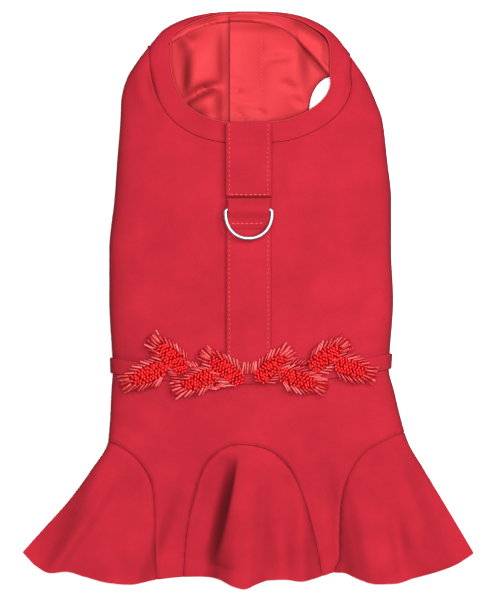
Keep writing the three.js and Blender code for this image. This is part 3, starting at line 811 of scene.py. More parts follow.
neckFarEdge = dict(columns=("x", "y"), rows=[
    (-52.0, 142.2), (-46.5, 148.2), (-33.3, 154.8), (-17.9, 157.6), (1.4, 158.1), (19.5, 157.6),
    (32.7, 154.8), (44.8, 148.2), (52.0, 140.8),
])
neckLine = lineThrough(neckEdge, 150)
bandLine = moveLine(neckLine, -cut["bandWidth"])
farLine = lineThrough(neckFarEdge, 90)
arches = dict(left=lineThrough(leftArch, 90), centre=lineThrough(centreArch, 150),
              right=lineThrough(rightArch, 90))


def rollEdges(points, line, top, drop, width):
    # the cloth turns down on both sides of a seam
    gap, spot = nearest(line, points[..., 0], points[..., 1])
    share = np.clip(1 - np.abs(gap) / width, 0, 1)
    points[..., 2] -= np.where(top, drop * share ** 2, 0)
    return points


def surfaceTree(points, top):
    places = points[top]
    tree = KDTree(len(places))
    for i, place in enumerate(places):
        tree.insert((place[0], place[1], 0.0), i)
    tree.balance()
    return tree, places


def surfaceHeight(surface, x, y):
    tree, places = surface
    found = tree.find_n((x, y, 0.0), 4)
    weights = [1 / (distance + 0.05) for place, i, distance in found]
    return sum(weight * places[i][2] for weight, (place, i, distance) in zip(weights, found)) / sum(weights)


def allowanceStrip(line, surface):
    # the seam's allowance, pressed flat under both cloths
    shifts = np.linspace(-upper["allowance"], upper["allowance"], 5)
    rows = np.arange(0, len(line) - 1, 0.25)
    fine = np.stack([np.interp(rows, np.arange(len(line)), line[:, i]) for i in (0, 1)], axis=1)
    strip = np.stack([moveLine(fine, shift) for shift in shifts], axis=1)
    x = fine[:, 0]
    y = fine[:, 1]
    room = upper["stripRoom"]
    half = upper["hemHalf"]
    inside = (x > leftAt(y) + room) & (x < rightAt(y) - room)
    inside &= (y > hemYAt(x / half)) & (y < upper["bandTop"])
    strip = strip[inside]
    strip[..., 1] = np.maximum(strip[..., 1], hemYAt(strip[..., 0] / half))
    strip[..., 0] = np.clip(strip[..., 0], leftAt(strip[..., 1]) + room, rightAt(strip[..., 1]) - room)
    under = cut["cloth"] + upper["stripGap"]
    heights = [[surfaceHeight(surface, x, y) - under for x, y in row] for row in strip]
    return np.concatenate([strip, np.array(heights)[..., None]], axis=-1)


def makeUpperLayer():
    points, top = upperGrid()
    surface = surfaceTree(points, top)
    for arch in arches.values():
        points = rollEdges(points, arch, top, upper["archDrop"], upper["archWidth"])
    points = rollEdges(points, bandLine, top, upper["neckDrop"], upper["neckWidth"])
    points = rollEdges(points, neckLine, top, upper["neckDrop"], upper["neckWidth"])
    spare = upper["seamHalfGap"]
    edges = [(openLine(moveLine(bandLine, -spare)), -1)]
    edges += [(moveLine(arch, spare), 1) for arch in arches.values()]
    back, gap, keep = trimCloth(points, edges)
    layCloth("backPanel", "back_panel", back, keep, cut["cloth"], softEdge, [felt], (172, 300))
    for side, arch in arches.items():
        others = [(moveLine(other, spare), 1) for name, other in arches.items() if name != side]
        godet, gap, keep = trimCloth(points, [(moveLine(arch, -spare), -1)] + others)
        used = np.ix_(keep.any(axis=1), keep.any(axis=0))
        strip = allowanceStrip(arch, surface)
        layCloth("godet" + side.capitalize(), "godet_" + side, godet[used], keep[used], cut["cloth"],
                 softEdge, [felt], (96, 92), strip)
    band, gap, keep = trimCloth(points, [(openLine(moveLine(bandLine, spare)), 1), (openLine(neckLine), -1)])
    keep &= top | (points[..., 2] >= cut["cloth"] + 0.2)
    farGap, spot = nearest(farLine, points[..., 0], points[..., 1])
    away = np.abs(points[..., 0])
    taper = upper["hornTaper"] * (away - upper["hornEnd"])
    taper = taper + upper["hornSwell"] * np.maximum(away - upper["hornStart"], 0) ** 2
    keep &= (np.abs(farGap) < taper) | (points[..., 1] < upper["hornFromY"])
    rows = keep.any(axis=1)
    layCloth("neckbandCloth", "neckband", band[rows], keep[rows], cut["cloth"], softEdge, [felt], (210, 40),
             allowanceStrip(bandLine, surface))


makeUpperLayer()
print("upper layer ready")


# lower layer: chest band, flaps and their satin

lower = dict(
    step=1.5,
    flapEndY=-59.7,
    topY=158.0,
    inset=0.3,
    underEdge=7.9,
    overEdge=-10.2,
    rise=3.1,
    rampStart=8.8,
    ramp=14.0,
    satinTop=2.8,
    satinCloth=0.7,
    besideEdge=6.0,
    lapEndY=147.0,
    lapFall=5.0,
    foldsFromY=88.0,
    foldsReach=10.0,
    satinInset=0.6,
    edgeDrop=0.5,
    edgeReach=1.5,
    seamGap=0.15,
)
chestBand = dict(step=0.9, height=1.5, rise=2.2, riseWidth=6.0, halfWidth=38.0)
# the facing's height over the floor, its growth where the lining laps and to each side, and how it is held
facing = dict(
    step=0.9,
    height=4.4,
    lap=1.2,
    right=3.4,
    rightFromX=14.0,
    rightReach=14.0,
    left=2.2,
    leftFromX=26.0,
    leftReach=12.0,
    overLining=0.4,
    overFloor=0.9,
    farInset=0.5,
    sideInset=0.9,
    rollWidth=5.0,
    rollToX=30.0,
    rollReach=14.0,
    freeX=26.0,
    freeReach=10.0,
    sewnWidth=7.0,
)
armholes = dict(columns=("x", "y", "across", "along"), rows=[
    (-54.4, 102.0, 13.0, 19.8),
    (47.2, 102.6, 13.5, 20.4),
])
chestSeam = dict(columns=("x", "y"), rows=[
    (-66.0, 139.0), (-46.0, 137.5), (-34.0, 141.0), (-18.0, 145.5), (2.0, 147.0), (20.0, 145.5),
    (34.0, 140.5), (46.0, 133.8), (66.0, 132.5),
])
facingSeam = dict(columns=("x", "y"), rows=[
    (-50.0, 136.0), (-36.6, 144.1), (-19.5, 151.0), (1.4, 152.2), (18.4, 148.8), (31.1, 137.8), (44.3, 123.5),
    (53.6, 114.0),
])
liningFolds = dict(
    columns=("startX", "startY", "endX", "endY", "height", "leftWidth", "rightWidth", "bow", "lean"),
    rows=[
        (-22.5, 156.0, -21.5, 102.0, 5.6, 8.0, 11.0, 1.0, 0),
        (-31.0, 147.0, -31.0, 101.0, 4.6, 7.0, 6.0, 0.0, 0),
        (-22.0, 116.0, -18.5, 84.0, 4.6, 6.0, 7.5, 0.0, 0),
        (-39.5, 104.0, -12.0, 118.0, -4.6, 2.8, 3.4, 3.0, 0),
        (-34.0, 138.0, -36.0, 106.0, -1.6, 3.0, 3.0, 0.0, 0),
        (-38.0, 149.0, -31.0, 138.0, 1.6, 3.0, 4.0, 0.0, 0),
        (-36.0, 148.0, -29.0, 143.5, -1.2, 1.4, 1.8, 0.0, 0),
        (14.5, 152.0, 18.0, 96.0, 3.2, 9.0, 14.0, 1.0, 0),
        (23.0, 153.0, 33.0, 97.0, 7.0, 8.2, 12.0, 0.0, 0),
        (32.0, 148.0, 33.0, 106.0, -1.6, 4.0, 5.0, 0.0, 0),
        (8.0, 131.0, 25.0, 132.5, -1.2, 2.0, 2.6, 0.8, 0),
        (17.0, 119.5, 29.0, 113.0, -1.4, 2.2, 2.6, 0.6, 0),
        (24.0, 112.0, 31.0, 105.0, -1.5, 1.2, 1.8, 0.6, 0),
        (-11.0, 121.5, -2.0, 120.0, -0.8, 0.8, 1.2, 0.3, 0),
        (-11.0, 115.5, 1.0, 113.6, -1.0, 0.9, 1.3, 0.4, 0),
        (-10.5, 110.0, 5.0, 106.6, 0.8, 1.4, 1.2, -0.8, 0),
        (-8.5, 104.5, -0.5, 97.5, -1.4, 0.9, 1.4, 0.6, 0),
        (4.0, 104.5, 10.5, 99.5, -1.3, 1.0, 1.5, 0.8, 0),
        (-10.0, 138.0, -4.0, 137.0, 0.5, 1.4, 1.4, 0.3, 0),
    ],
)


def ovalLine(hole, grow):
    turn = np.linspace(0, 2 * np.pi, 64)
    return np.stack([hole["x"] + (hole["across"] + grow) * np.cos(turn),
                     hole["y"] + (hole["along"] + grow) * np.sin(turn)], axis=1)


def plainGrid(fromX, toX, fromY, toY, step):
    columns = max(2, int(round((toX - fromX) / step)) + 1)
    rows = max(2, int(round((toY - fromY) / step)) + 1)
    x, y = np.meshgrid(np.linspace(fromX, toX, columns), np.linspace(fromY, toY, rows))
    return np.stack([x, y, np.zeros_like(x)], axis=-1)


def lowerEdges(inset, holeGrow, topLine):
    # side lines just inside the back panel's turned-under edge, the top seam and the armholes
    y = np.linspace(lower["flapEndY"] - 5, 150, 60)
    room = cut["underTurn"] + inset
    edges = [(np.stack([leftAt(y) + room, y], axis=1), -1), (np.stack([rightAt(y) - room, y], axis=1), 1)]
    edges.append((topLine, -1))
    for hole in rowsOf(armholes):
        edges.append((ovalLine(hole, holeGrow), -1))
    return edges


def lapRise(x):
    return lower["rise"] * ease((lower["rampStart"] + lower["ramp"] - x) / lower["ramp"])


def liningHeight(points, over):
    # the folds die out under the back panel, and the under flap's beside the upper flap's edge
    rise = lapRise(points[..., 0]) if over else 0
    past = np.clip((points[..., 1] - lower["lapEndY"]) / lower["lapFall"], 0, 1)
    flat = lower["satinTop"] + rise * (1 - 0.5 * past)
    folded = points.copy()
    folded[..., 2] = flat
    addFolds(folded, liningFolds)
    fade = np.clip((points[..., 1] - lower["foldsFromY"]) / lower["foldsReach"], 0, 1)
    if not over:
        fade = fade * ease((lower["overEdge"] - 0.4 - points[..., 0]) / lower["besideEdge"])
    return flat + (folded[..., 2] - flat) * fade


def makeFlap(name, node, fromX, toX, over, isSatin):
    grow = lower["satinInset"] if isSatin else 0.0
    inset = lower["inset"] + grow
    topLine = lineThrough(facingSeam if isSatin else chestSeam, 90)
    if isSatin:
        topLine = moveLine(topLine, 3.0)
    points = plainGrid(fromX, toX, lower["flapEndY"] + inset, lower["topY"], lower["step"])
    edges = lowerEdges(inset, grow, moveLine(topLine, -lower["seamGap"]))
    points, gap, keep = trimCloth(points, edges)
    points[..., 2] = lower["satinTop"] if isSatin else cut["cloth"]
    if over:
        points[..., 2] += lapRise(points[..., 0])
    if isSatin:
        points[..., 2] = liningHeight(points, over)
        points[..., 2] -= lower["edgeDrop"] * np.clip(1 - gap / lower["edgeReach"], 0, 1) ** 2
        points[..., 2] = np.maximum(points[..., 2], cut["cloth"] + lower["satinCloth"] + lower["seamGap"])
    rows = keep.any(axis=1)
    thickness = lower["satinCloth"] if isSatin else cut["cloth"]
    layCloth(name, node, points[rows], keep[rows], thickness, satinEdge if isSatin else softEdge,
             [satin if isSatin else felt], (toX - fromX, 216))


def makeLowerLayer():
    makeFlap("chestFlapLeft", "chest_flap_left", -80.0, lower["underEdge"], False, False)
    makeFlap("chestFlapRight", "chest_flap_right", lower["overEdge"], 80.0, True, False)
    makeFlap("liningLeft", "lining_left", -80.0, lower["underEdge"] - 0.5, False, True)
    makeFlap("liningRight", "lining_right", lower["overEdge"] + 0.3, 80.0, True, True)
    makeChestBand()
    makeFacing()


def makeChestBand():
    points = plainGrid(-60, 60, 130, 159, chestBand["step"])
    seam = moveLine(lineThrough(chestSeam, 90), lower["seamGap"])
    side = openLine(moveLine(bandLine, lower["seamGap"]))
    points, gap, keep = trimCloth(points, [(farLine, -1), (seam, 1), (side, 1)])
    middle = np.clip(1 - np.abs(points[..., 0]) / chestBand["halfWidth"], 0, 1)
    edgeGap, spot = nearest(farLine, points[..., 0], points[..., 1])
    roll = np.clip(1 - np.abs(edgeGap) / chestBand["riseWidth"], 0, 1) ** 1.5
    points[..., 2] = chestBand["height"] + chestBand["rise"] * roll * np.sqrt(middle)
    layCloth("neckbandChest", "neckband_chest", points, keep, cut["cloth"] - 0.3, softEdge, [felt],
             (122, 30))


def makeFacing():
    seam = lineThrough(facingSeam, 90)
    points = plainGrid(-56, 56, 112, 158, facing["step"])
    sides = lowerEdges(facing["sideInset"], 0.3, farLine)
    edges = [(moveLine(farLine, -facing["farInset"]), -1), (seam, 1)] + sides[:2] + sides[3:]
    points, gap, keep = trimCloth(points, edges)
    seamGap, spot = nearest(seam, points[..., 0], points[..., 1])
    x = points[..., 0]
    y = points[..., 1]
    overlap = np.clip((x - lower["overEdge"]) / 0.5 + 0.5, 0, 1)
    rightSide = np.clip((x - facing["rightFromX"]) / facing["rightReach"], 0, 1)
    leftSide = np.clip((-x - facing["leftFromX"]) / facing["leftReach"], 0, 1)
    height = facing["height"] + facing["lap"] * overlap
    height = height + facing["right"] * rightSide ** 2 + facing["left"] * leftSide ** 2
    lining = np.where(x < lower["overEdge"], liningHeight(points, False), liningHeight(points, True))
    height = np.maximum(height, lining + lower["satinCloth"] + facing["overLining"])
    edgeGap, spot = nearest(moveLine(farLine, -facing["sideInset"]), x, y)
    farRoll = np.clip(1 - np.abs(edgeGap) / facing["rollWidth"], 0, 1)
    middle = np.clip((facing["rollToX"] - np.abs(x)) / facing["rollReach"], 0, 1)
    height = height - (height - facing["height"]) * farRoll ** 2 * middle
    # it is sewn up to the neckband, and lies free at the middle of the far edge
    ceiling = hornSink(x, y, bodyHeight(x, y)) - cut["cloth"] - 0.3
    underBand, spot = nearest(neckLine, x, y)
    sewn = ease(underBand / facing["sewnWidth"])
    capped = np.where(underBand < 0, np.minimum(height, ceiling), ceiling * (1 - sewn) + height * sewn)
    free = np.clip((facing["freeX"] - np.abs(x)) / facing["freeReach"], 0, 1)
    points[..., 2] = np.maximum(capped * (1 - free) + height * free, cut["cloth"] + facing["overFloor"])
    turnedEdge = 0.5 * np.exp(-((seamGap - 1.6) / 1.2) ** 2)
    points[..., 2] += turnedEdge - 0.8 * np.clip(1 - seamGap, 0, 1) ** 2
    layCloth("neckFacing", "neck_facing", points, keep, lower["satinCloth"], satinEdge, [satin], (96, 34))


makeLowerLayer()
print("lower layer ready")


# straps and belt

straps = dict(step=0.7, gap=0.3, width=cut["strapWidth"], edgeDrop=0.35, edgeWidth=1.2)
belt = dict(
    width=8.6,
    cloth=1.1,
    gap=0.4,
    middleY=-41.8,
    rise=6.8,  # the ends lie this much nearer the neck than the middle
    tilt=1.2,  # and the right end this much nearer than that
    endTurn=38,
    endColumns=7,
    columns=150,
    rows=9,
)


def makeStrap(name, node, fromY, toY, lift, bevel, turnDown, flat):
    # turnDown rounds the near end down, as a fold does
    left = cut["strapCentre"] - straps["width"] / 2
    right = cut["strapCentre"] + straps["width"] / 2
    points = plainGrid(left, right, fromY, toY, straps["step"])
    x = points[..., 0]
    y = points[..., 1]
    side = np.minimum(x - left, right - x)
    drop = straps["edgeDrop"] * np.clip(1 - side / straps["edgeWidth"], 0, 1) ** 2
    if turnDown:
        share = np.clip((fromY + turnDown - y) / turnDown, 0, 1)
        drop = drop + turnDown * (1 - np.sqrt(1 - share ** 2))
    points[..., 2] = bodyHeight(x, y) + lift - drop
    layCloth(name, node, points, np.ones(x.shape, bool), cut["cloth"], bevel, [felt], flat)


def makeBelt():
    share = np.sin(np.linspace(-np.pi / 2, np.pi / 2, belt["columns"]))
    ends = belt["endColumns"]
    angles = np.radians(np.linspace(0, belt["endTurn"], ends + 1))[1:]
    share = np.concatenate([np.full(ends, -1.0), share, np.full(ends, 1.0)])
    turn = np.concatenate([angles[::-1], np.full(belt["columns"], np.nan), angles])
    across = np.linspace(-0.5, 0.5, belt["rows"])[:, None] * belt["width"]
    y = belt["middleY"] + belt["rise"] * share[None, :] ** 2 + belt["tilt"] * share[None, :] + across
    points = skin(share[None, :] + 0 * y, turn[None, :] + 0 * y, 0 * y, y, 0 * y)
    sideways = np.gradient(points, axis=1)
    along = np.gradient(points, axis=0)
    normal = np.cross(sideways, along)
    normal /= np.linalg.norm(normal, axis=-1)[..., None]
    edge = np.clip(1 - (belt["width"] / 2 - np.abs(across)) / 1.0, 0, 1) ** 2
    points = points + normal * (belt["gap"] + belt["cloth"] - 0.25 * edge[..., None])
    layCloth("beltCloth", "belt", points, np.ones(y.shape, bool), belt["cloth"], 0.25, [felt], (176, 10))


strapLayer = straps["gap"] + cut["cloth"]
makeStrap("centreStrap", "centre_strap", cut["strapEndY"], cut["neckY"], strapLayer, 0.35, 0, (24.8, 125))
makeStrap("upperStrap", "upper_strap", cut["foldY"], cut["neckY"] + 0.4, 2 * strapLayer, softEdge, 2.0,
          (24.8, 42))
makeBelt()
print("straps and belt ready")


# ring loop and ring

loop = dict(
    halfWidth=11.55,
    cloth=1.0,
    tailY=38.2,
    gap=0.3,
    barY=48.95,
    barRise=1.4,
    bumpBelow=4.4,
    bumpAbove=6.0,
    tail=5.0,
    tailDrop=1.1,
    step=0.45,
)
ring = dict(
    wire=1.0,
    halfWidth=12.65,
    depth=15.9,
    corner=1.6,
    tilt=9.5,
    squareness=0.92,
    arcSteps=96,
    sides=20,
)
strapTop = heightAt(cut["strapCentre"], loop["barY"]) + straps["gap"] + cut["cloth"]
barZ = strapTop + loop["barRise"]


def sweepTube(name, path, radius, sides, closed, materials):
    # a round wire along a path, a point of the path to each row
    path = np.array(path, float)
    radii = np.broadcast_to(np.asarray(radius, float), (len(path),))
    if closed:
        ahead = np.roll(path, -1, axis=0) - np.roll(path, 1, axis=0)
    else:
        ahead = np.gradient(path, axis=0)
    ahead /= np.linalg.norm(ahead, axis=1)[:, None]
    up = np.cross(np.cross(ahead, [0, 0, 1.0]), ahead)
    up /= np.linalg.norm(up, axis=1)[:, None]
    side = np.cross(ahead, up)
    turn = np.linspace(0, 2 * np.pi, sides + 1)
    spokes = up[:, None] * np.cos(turn)[None, :, None] + side[:, None] * np.sin(turn)[None, :, None]
    points = path[:, None] + spokes * radii[:, None, None]
    if closed:
        points = np.concatenate([points, points[:1]])
    bm = gridMesh(points, np.ones(points.shape[:2], bool))
    bmesh.ops.remove_doubles(bm, verts=bm.verts[:], dist=0.001 * mm)
    if not closed:
        bmesh.ops.holes_fill(bm, edges=bm.edges[:], sides=0)
    bmesh.ops.recalc_face_normals(bm, faces=bm.faces[:])
    return newObject(name, bm, materials)


def makeLoop():
    low = strapTop + loop["gap"] + loop["cloth"]
    left = cut["strapCentre"] - loop["halfWidth"]
    right = cut["strapCentre"] + loop["halfWidth"]
    points = plainGrid(left, right, loop["tailY"], cut["foldY"] - loop["gap"], loop["step"])
    x = points[..., 0]
    y = points[..., 1]
    width = np.where(y < loop["barY"], loop["bumpBelow"], loop["bumpAbove"])
    crest = barZ + ring["wire"] + loop["gap"] + loop["cloth"] - low
    bump = crest * np.exp(-((y - loop["barY"]) / width) ** 2)
    side = np.minimum(x - left, right - x)
    drop = 0.3 * np.clip(1 - side / 1.0, 0, 1) ** 2
    tail = np.clip(1 - (y - loop["tailY"]) / loop["tail"], 0, 1) ** 2
    points[..., 2] = low + bump - drop - loop["tailDrop"] * tail
    layCloth("ringLoop", "ring_loop", points, np.ones(x.shape, bool), loop["cloth"], softEdge, [felt],
             (22.4, 42))


def ringPath():
    straight = ring["halfWidth"] - ring["corner"]
    flat = [(x, 0.0) for x in np.linspace(-straight, straight, 21)]
    corner = []
    for angle in np.radians(np.linspace(0, 90, 9)[1:-1]):
        corner.append((straight + ring["corner"] * math.sin(angle), -ring["corner"] * (1 - math.cos(angle))))
    arc = []
    for angle in np.linspace(0, math.pi, ring["arcSteps"]):
        across = math.copysign(abs(math.cos(angle)) ** ring["squareness"], math.cos(angle))
        down = max(math.sin(angle), 0.0) ** ring["squareness"]
        arc.append((ring["halfWidth"] * across, -ring["corner"] - (ring["depth"] - ring["corner"]) * down))
    outline = flat + corner + arc + [(-x, y) for x, y in corner[::-1]]
    tilt = math.radians(ring["tilt"])
    return [(cut["strapCentre"] + x, loop["barY"] + y * math.cos(tilt), barZ - y * math.sin(tilt))
            for x, y in outline]


def makeRing():
    piece = sweepTube("dRing", ringPath(), ring["wire"], ring["sides"], True, [steel])
    declare(piece, "d_ring", "ring")


makeLoop()
makeRing()
print("ring ready")


# leaves: a felt pad under each, seed beads on it and bugle beads round it

leaves = dict(columns=("node", "tipX", "tipY", "baseX", "baseY", "width"), rows=[
    ("leaf_left_1", -70.4, -47.4, -44.3, -36.6, 15.5),
    ("leaf_left_2", -54.7, -19.7, -33.4, -39.4, 16.0),
    ("leaf_left_3", -42.4, -50.6, -16.8, -40.2, 14.0),
    ("leaf_left_4", -26.4, -27.4, -3.0, -45.6, 15.0),
    ("leaf_right_1", 25.0, -26.4, 4.4, -44.2, 14.5),
    ("leaf_right_2", 44.3, -48.5, 16.8, -40.4, 14.0),
    ("leaf_right_3", 55.8, -22.0, 33.6, -37.7, 15.5),
    ("leaf_right_4", 70.6, -42.1, 47.0, -34.4, 15.0),
])
pad = dict(lift=2.5, cloth=0.6, scale=0.8, steps=17, columns=9)
seed = dict(
    radius=1.0,
    tube=0.66,
    pitch=1.78,
    turns=9,
    sides=6,
    coreWidth=0.3,
    coreEnd=0.72,  # the beads' rows end at this share of the leaf's length
    mound=1.4,
    rowSpread=0.93,
    lift=0.75,
    lean=35,
    tip=0.35,
    alongSway=0.3,
    acrossSway=0.25,
    smallest=0.9,
    largest=1.08,
    rarity=1.0,
)
bugle = dict(
    radius=0.52,
    sides=8,
    bevel=0.12,
    shortest=5.0,
    longest=6.2,
    pitch=2.2,
    doubled=0.15,
    baseAngle=50.0,
    tipAngle=10.0,
    sway=6.0,
    coreEnd=0.78,
    tipDown=0.76,
    tipFan=((-3.4, -16), (-1.8, -8), (-0.2, 0), (1.5, 7), (3.2, 15)),
    lift=0.65,
    layer=0.95,
    rarity=2.6,
)
# bugles side by side between the leaves: first middle, step to the next, count, direction in degrees, length
bugleStacks = dict(columns=("x", "y", "stepX", "stepY", "count", "turn", "length"), rows=[
    (-2.6, -37.4, 1.3, 0.1, 6, 84, 6.6),
    (-41.8, -36.6, 0.5, -1.55, 6, 176, 5.6),
    (-13.4, -46.6, -1.5, -0.5, 5, 168, 5.2),
    (35.6, -36.2, 0.7, -1.6, 6, 2, 5.6),
    (24.0, -34.2, 1.9, -0.1, 5, 42, 4.8),
    (-27.5, -36.5, -1.6, 0.6, 5, 120, 5.2),
])


def leafFrame(leaf):
    base = np.array([leaf["baseX"], leaf["baseY"]])
    tip = np.array([leaf["tipX"], leaf["tipY"]])
    length = np.linalg.norm(tip - base)
    along = (tip - base) / length
    return base, along, np.array([-along[1], along[0]]), length


def leafSpot(leaf, down, across, lift):
    # a place on the leaf: its way from base to tip, its way to the side and its height over the back panel
    base, along, side, length = leafFrame(leaf)
    x, y = base + along * down * length + side * across
    return np.array([x, y, heightAt(x, y) + lift])


def leafHalfWidth(leaf, down):
    return leaf["width"] / 2 * np.sin(np.pi * np.clip(1 - down, 0, 1) ** 0.85) ** 0.8


def coreRoom(leaf, down):
    # half the width of the seed beads' field
    return leaf["width"] * seed["coreWidth"] * math.sin(math.pi * min(1, (down + 0.12) / 0.9)) ** 0.6


def makePad(leaf, name):
    points = np.zeros((pad["steps"], pad["columns"], 3))
    for i, down in enumerate(np.linspace(0.02, 0.98, pad["steps"])):
        half = pad["scale"] * leafHalfWidth(leaf, down) + 0.1
        for j, share in enumerate(np.linspace(-1, 1, pad["columns"])):
            points[i, j] = leafSpot(leaf, down, share * half, pad["lift"] - 0.15 * abs(share) ** 3)
    layCloth(name, leaf["node"], points, np.ones(points.shape[:2], bool), pad["cloth"], 0.1, [padRedAndShade],
             (28, leaf["width"]))


def placeTurned(spot, direction, roll=0.0):
    # a matrix that stands a bead's own X on the direction
    forward = Vector(direction).normalized()
    turn = forward.to_track_quat("X", "Z").to_matrix().to_4x4()
    return Matrix.Translation(Vector(spot) * mm) @ turn @ Matrix.Rotation(roll, 4, "X")


def addSeed(bm, place, size):
    # a small round bead with a hole along its X
    middle = (seed["radius"] - seed["tube"]) * size * mm
    start = place @ Matrix.Translation((0, 0, middle + seed["tube"] * 0.35 * size * mm))
    made = bmesh.ops.create_circle(bm, segments=seed["sides"], radius=seed["tube"] * size * mm,
                                   matrix=start @ Matrix.Rotation(math.pi / 2, 4, "X"))
    edges = list({edge for vertex in made["verts"] for edge in vertex.link_edges})
    bmesh.ops.spin(bm, geom=made["verts"] + edges, cent=place.translation,
                   axis=place.to_3x3() @ Vector((1, 0, 0)), angle=2 * math.pi, steps=seed["turns"],
                   use_merge=True, use_duplicate=False)


def addBugle(bm, start, direction, length):
    place = placeTurned(np.array(start) + np.array(direction) * length / 2, direction, random.uniform(0, 1))
    made = bmesh.ops.create_cone(bm, cap_ends=True, segments=bugle["sides"], radius1=bugle["radius"] * mm,
                                 radius2=bugle["radius"] * mm, depth=length * mm,
                                 matrix=place @ Matrix.Rotation(math.pi / 2, 4, "Y"))
    rims = {edge for vertex in made["verts"] for edge in vertex.link_edges
            if any(len(face.verts) > 4 for face in edge.link_faces)}
    bmesh.ops.bevel(bm, geom=list(rims), offset=bugle["bevel"] * mm, segments=1, affect="EDGES", profile=0.5,
                    material=-1)


def finishBeads(name, bm, look, glass):
    bmesh.ops.recalc_face_normals(bm, faces=bm.faces[:])
    setBeadTonesAndHighlights(bm, look["rarity"])
    declare(newObject(name, bm, [glass]))


def seedSpots(leaf):
    # rows of beads side by side along the leaf, closest at its base
    base, along, side, length = leafFrame(leaf)
    spots = []
    rows = int(leaf["width"] * seed["coreWidth"] / seed["pitch"] + 0.5)
    for row in range(-rows, rows + 1):
        down = seed["pitch"] * (0.3 + 0.5 * (row % 2)) / length
        while down < seed["coreEnd"]:
            across = row * seed["pitch"] * seed["rowSpread"]
            room = coreRoom(leaf, down)
            if abs(across) < room + 0.2:
                placed = down + random.uniform(-seed["alongSway"], seed["alongSway"]) / length
                spots.append((placed, across + random.uniform(-seed["acrossSway"], seed["acrossSway"]), room))
            down += seed["pitch"] / length
    return spots


def makeSeeds(leaf, name):
    bm = bmesh.new()
    base, along, side, length = leafFrame(leaf)
    for down, across, room in seedSpots(leaf):
        beside = min(1, abs(across) / (room + 1.2))
        rise = seed["mound"] * (1 - beside ** 2) * math.sin(math.pi * (0.2 + 0.75 * down))
        spot = leafSpot(leaf, down, across, pad["lift"] + seed["lift"] + rise + random.uniform(-0.15, 0.25))
        lean = math.radians(random.uniform(-seed["lean"], seed["lean"]))
        heading = along * math.cos(lean) + side * math.sin(lean)
        direction = (heading[0], heading[1], random.uniform(-seed["tip"], seed["tip"]))
        addSeed(bm, placeTurned(spot, direction), random.uniform(seed["smallest"], seed["largest"]))
    finishBeads(name, bm, seed, seedRed)


def bugleStarts(leaf):
    # both sides of the leaf from its base, then round its tip
    base, along, side, length = leafFrame(leaf)
    starts = []
    for sign in (-1, 1):
        down = 0.1 + random.uniform(0, 0.04)
        while down < bugle["coreEnd"]:
            share = down / bugle["coreEnd"]
            angle = bugle["baseAngle"] + (bugle["tipAngle"] - bugle["baseAngle"]) * share
            starts.append((down, sign * (coreRoom(leaf, down) + 0.1), sign * angle))
            down += bugle["pitch"] / length
    return starts + [(bugle["tipDown"], across, angle) for across, angle in bugle["tipFan"]]


def makeBugles(leaf, name):
    bm = bmesh.new()
    base, along, side, length = leafFrame(leaf)
    for down, across, angle in bugleStarts(leaf):
        for layer in range(2 if random.random() < bugle["doubled"] else 1):
            turn = math.radians(angle + random.uniform(-bugle["sway"], bugle["sway"]))
            reach = random.uniform(bugle["shortest"], bugle["longest"])
            heading = along * math.cos(turn) + side * math.sin(turn)
            lift = pad["lift"] + bugle["lift"] + layer * bugle["layer"] + random.uniform(0, 0.3)
            start = leafSpot(leaf, down - layer * 0.04, across * (1 - 0.1 * layer), lift)
            end = start[:2] + heading * reach
            fall = heightAt(end[0], end[1]) + lift + random.uniform(-1.0, 0.6) - start[2]
            direction = np.array([heading[0], heading[1], fall / reach])
            addBugle(bm, start, direction / np.linalg.norm(direction), reach)
    finishBeads(name, bm, bugle, bugleRedAndHighlight)


def makeStacks():
    bm = bmesh.new()
    for stack in rowsOf(bugleStacks):
        for i in range(stack["count"]):
            turn = math.radians(stack["turn"] + random.uniform(-bugle["sway"], bugle["sway"]))
            heading = np.array([math.cos(turn), math.sin(turn)])
            middle = np.array([stack["x"] + i * stack["stepX"], stack["y"] + i * stack["stepY"]])
            start = middle - heading * stack["length"] / 2
            height = heightAt(middle[0], middle[1]) + pad["lift"] + random.uniform(0.2, 0.6)
            addBugle(bm, (start[0], start[1], height), (heading[0], heading[1], 0), stack["length"])
    finishBeads("bugleStacks", bm, bugle, bugleRedAndHighlight)


def setBeadTonesAndHighlights(bm, rarity):
    # each bead's tone, from 0 to 1; a greater rarity leaves fewer pale ones. On the seed beads it is their
    # own random tone; on the bugles the pale ones are painted highlights
    tone = bm.verts.layers.float.new("beadToneAndHighlight")
    seen = set()
    for vertex in bm.verts:
        if vertex in seen:
            continue
        value = random.random() ** rarity
        waiting = [vertex]
        while waiting:
            here = waiting.pop()
            if here in seen:
                continue
            seen.add(here)
            here[tone] = value
            waiting += [edge.other_vert(here) for edge in here.link_edges]


def makeLeaves():
    for leaf in rowsOf(leaves):
        words = leaf["node"].split("_")
        name = "leaf" + words[1].capitalize() + words[2]
        makePad(leaf, name + "Pad")
        makeSeeds(leaf, name + "Seeds")
        makeBugles(leaf, name + "Bugles")
    makeStacks()


makeLeaves()
print("leaves ready")


# sewing: rows of single stitches, and the satin edge of the neck

stitch = dict(length=1.5, pitch=2.5, radius=0.2, sunk=0.11, sideInset=1.9)
rowStitch = dict(length=1.9, pitch=2.53, radius=0.34)
closureStitch = dict(length=1.3, pitch=2.4, radius=0.13, x=7.4, fromY=106.0, toY=145.0)
neckRoll = dict(radius=0.42, sides=10, inside=0.25, sunk=0.35)
stitchRows = dict(columns=("y", "fromX", "toX", "onLoop"), rows=[
    (57.1, -8.6, 9.8, False),
    (41.4, -8.0, 9.6, True),
])


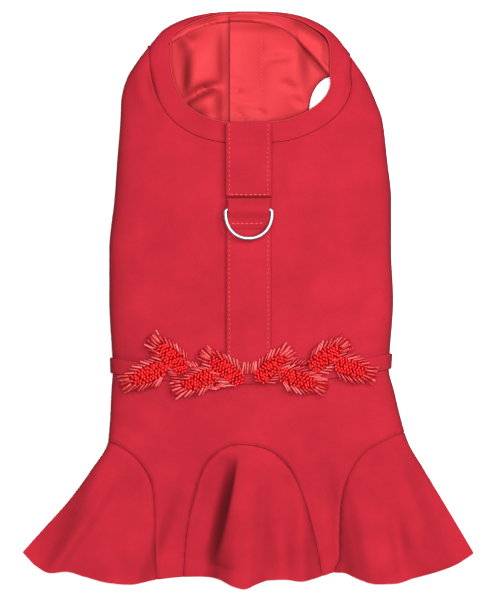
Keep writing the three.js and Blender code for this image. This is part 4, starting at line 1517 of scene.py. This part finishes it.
def addStitch(bm, spot, direction, look):
    shape = Matrix.Diagonal((look["length"] / 2 * mm, look["radius"] * mm, look["radius"] * mm, 1.0))
    bmesh.ops.create_uvsphere(bm, u_segments=8, v_segments=6, radius=1.0,
                              matrix=placeTurned(spot, direction) @ shape)


def strapHeight(x, y, layers):
    return heightAt(x, y) + layers * strapLayer


def makeStitches():
    bm = bmesh.new()
    lowRun = (cut["strapEndY"] + 1, loop["tailY"] - 1.5, 1)
    highRun = (cut["foldY"] + 2, cut["neckY"] - 1, 2)
    for sign in (-1, 1):
        x = cut["strapCentre"] + sign * (straps["width"] / 2 - stitch["sideInset"])
        for fromY, toY, layers in (lowRun, highRun):
            y = fromY
            while y < toY:
                spot = (x + random.uniform(-0.12, 0.12), y, strapHeight(x, y, layers) - stitch["sunk"])
                addStitch(bm, spot, (random.uniform(-0.08, 0.08), 1, 0), stitch)
                y += stitch["pitch"]
    for rowY, fromX, toX, onLoop in stitchRows["rows"]:
        x = fromX
        while x <= toX:
            z = strapTop + loop["gap"] + loop["cloth"] if onLoop else strapHeight(x, rowY, 2)
            spot = (x, rowY + random.uniform(-0.12, 0.12), z)
            addStitch(bm, spot, (1, random.uniform(-0.08, 0.08), 0), rowStitch)
            x += rowStitch["pitch"]
    y = closureStitch["fromY"]
    while y < closureStitch["toY"]:
        x = closureStitch["x"]
        height = liningHeight(np.array([[x, y, 0.0]]), True)[0]
        addStitch(bm, (x + random.uniform(-0.1, 0.1), y, height), (0.04, 1, 0), closureStitch)
        y += closureStitch["pitch"]
    declare(newObject("strapStitches", bm, [thread]))


def makeNeckEdge():
    # the satin's edge shows as a fine roll along the neck
    line = moveLine(neckLine, neckRoll["inside"])
    heights = hornSink(line[:, 0], line[:, 1], bodyHeight(line[:, 0], line[:, 1])) - neckRoll["sunk"]
    path = np.column_stack([line, heights])
    declare(sweepTube("neckEdging", path, neckRoll["radius"], neckRoll["sides"], False, [satin]))


makeStitches()
makeNeckEdge()
print("sewing ready")
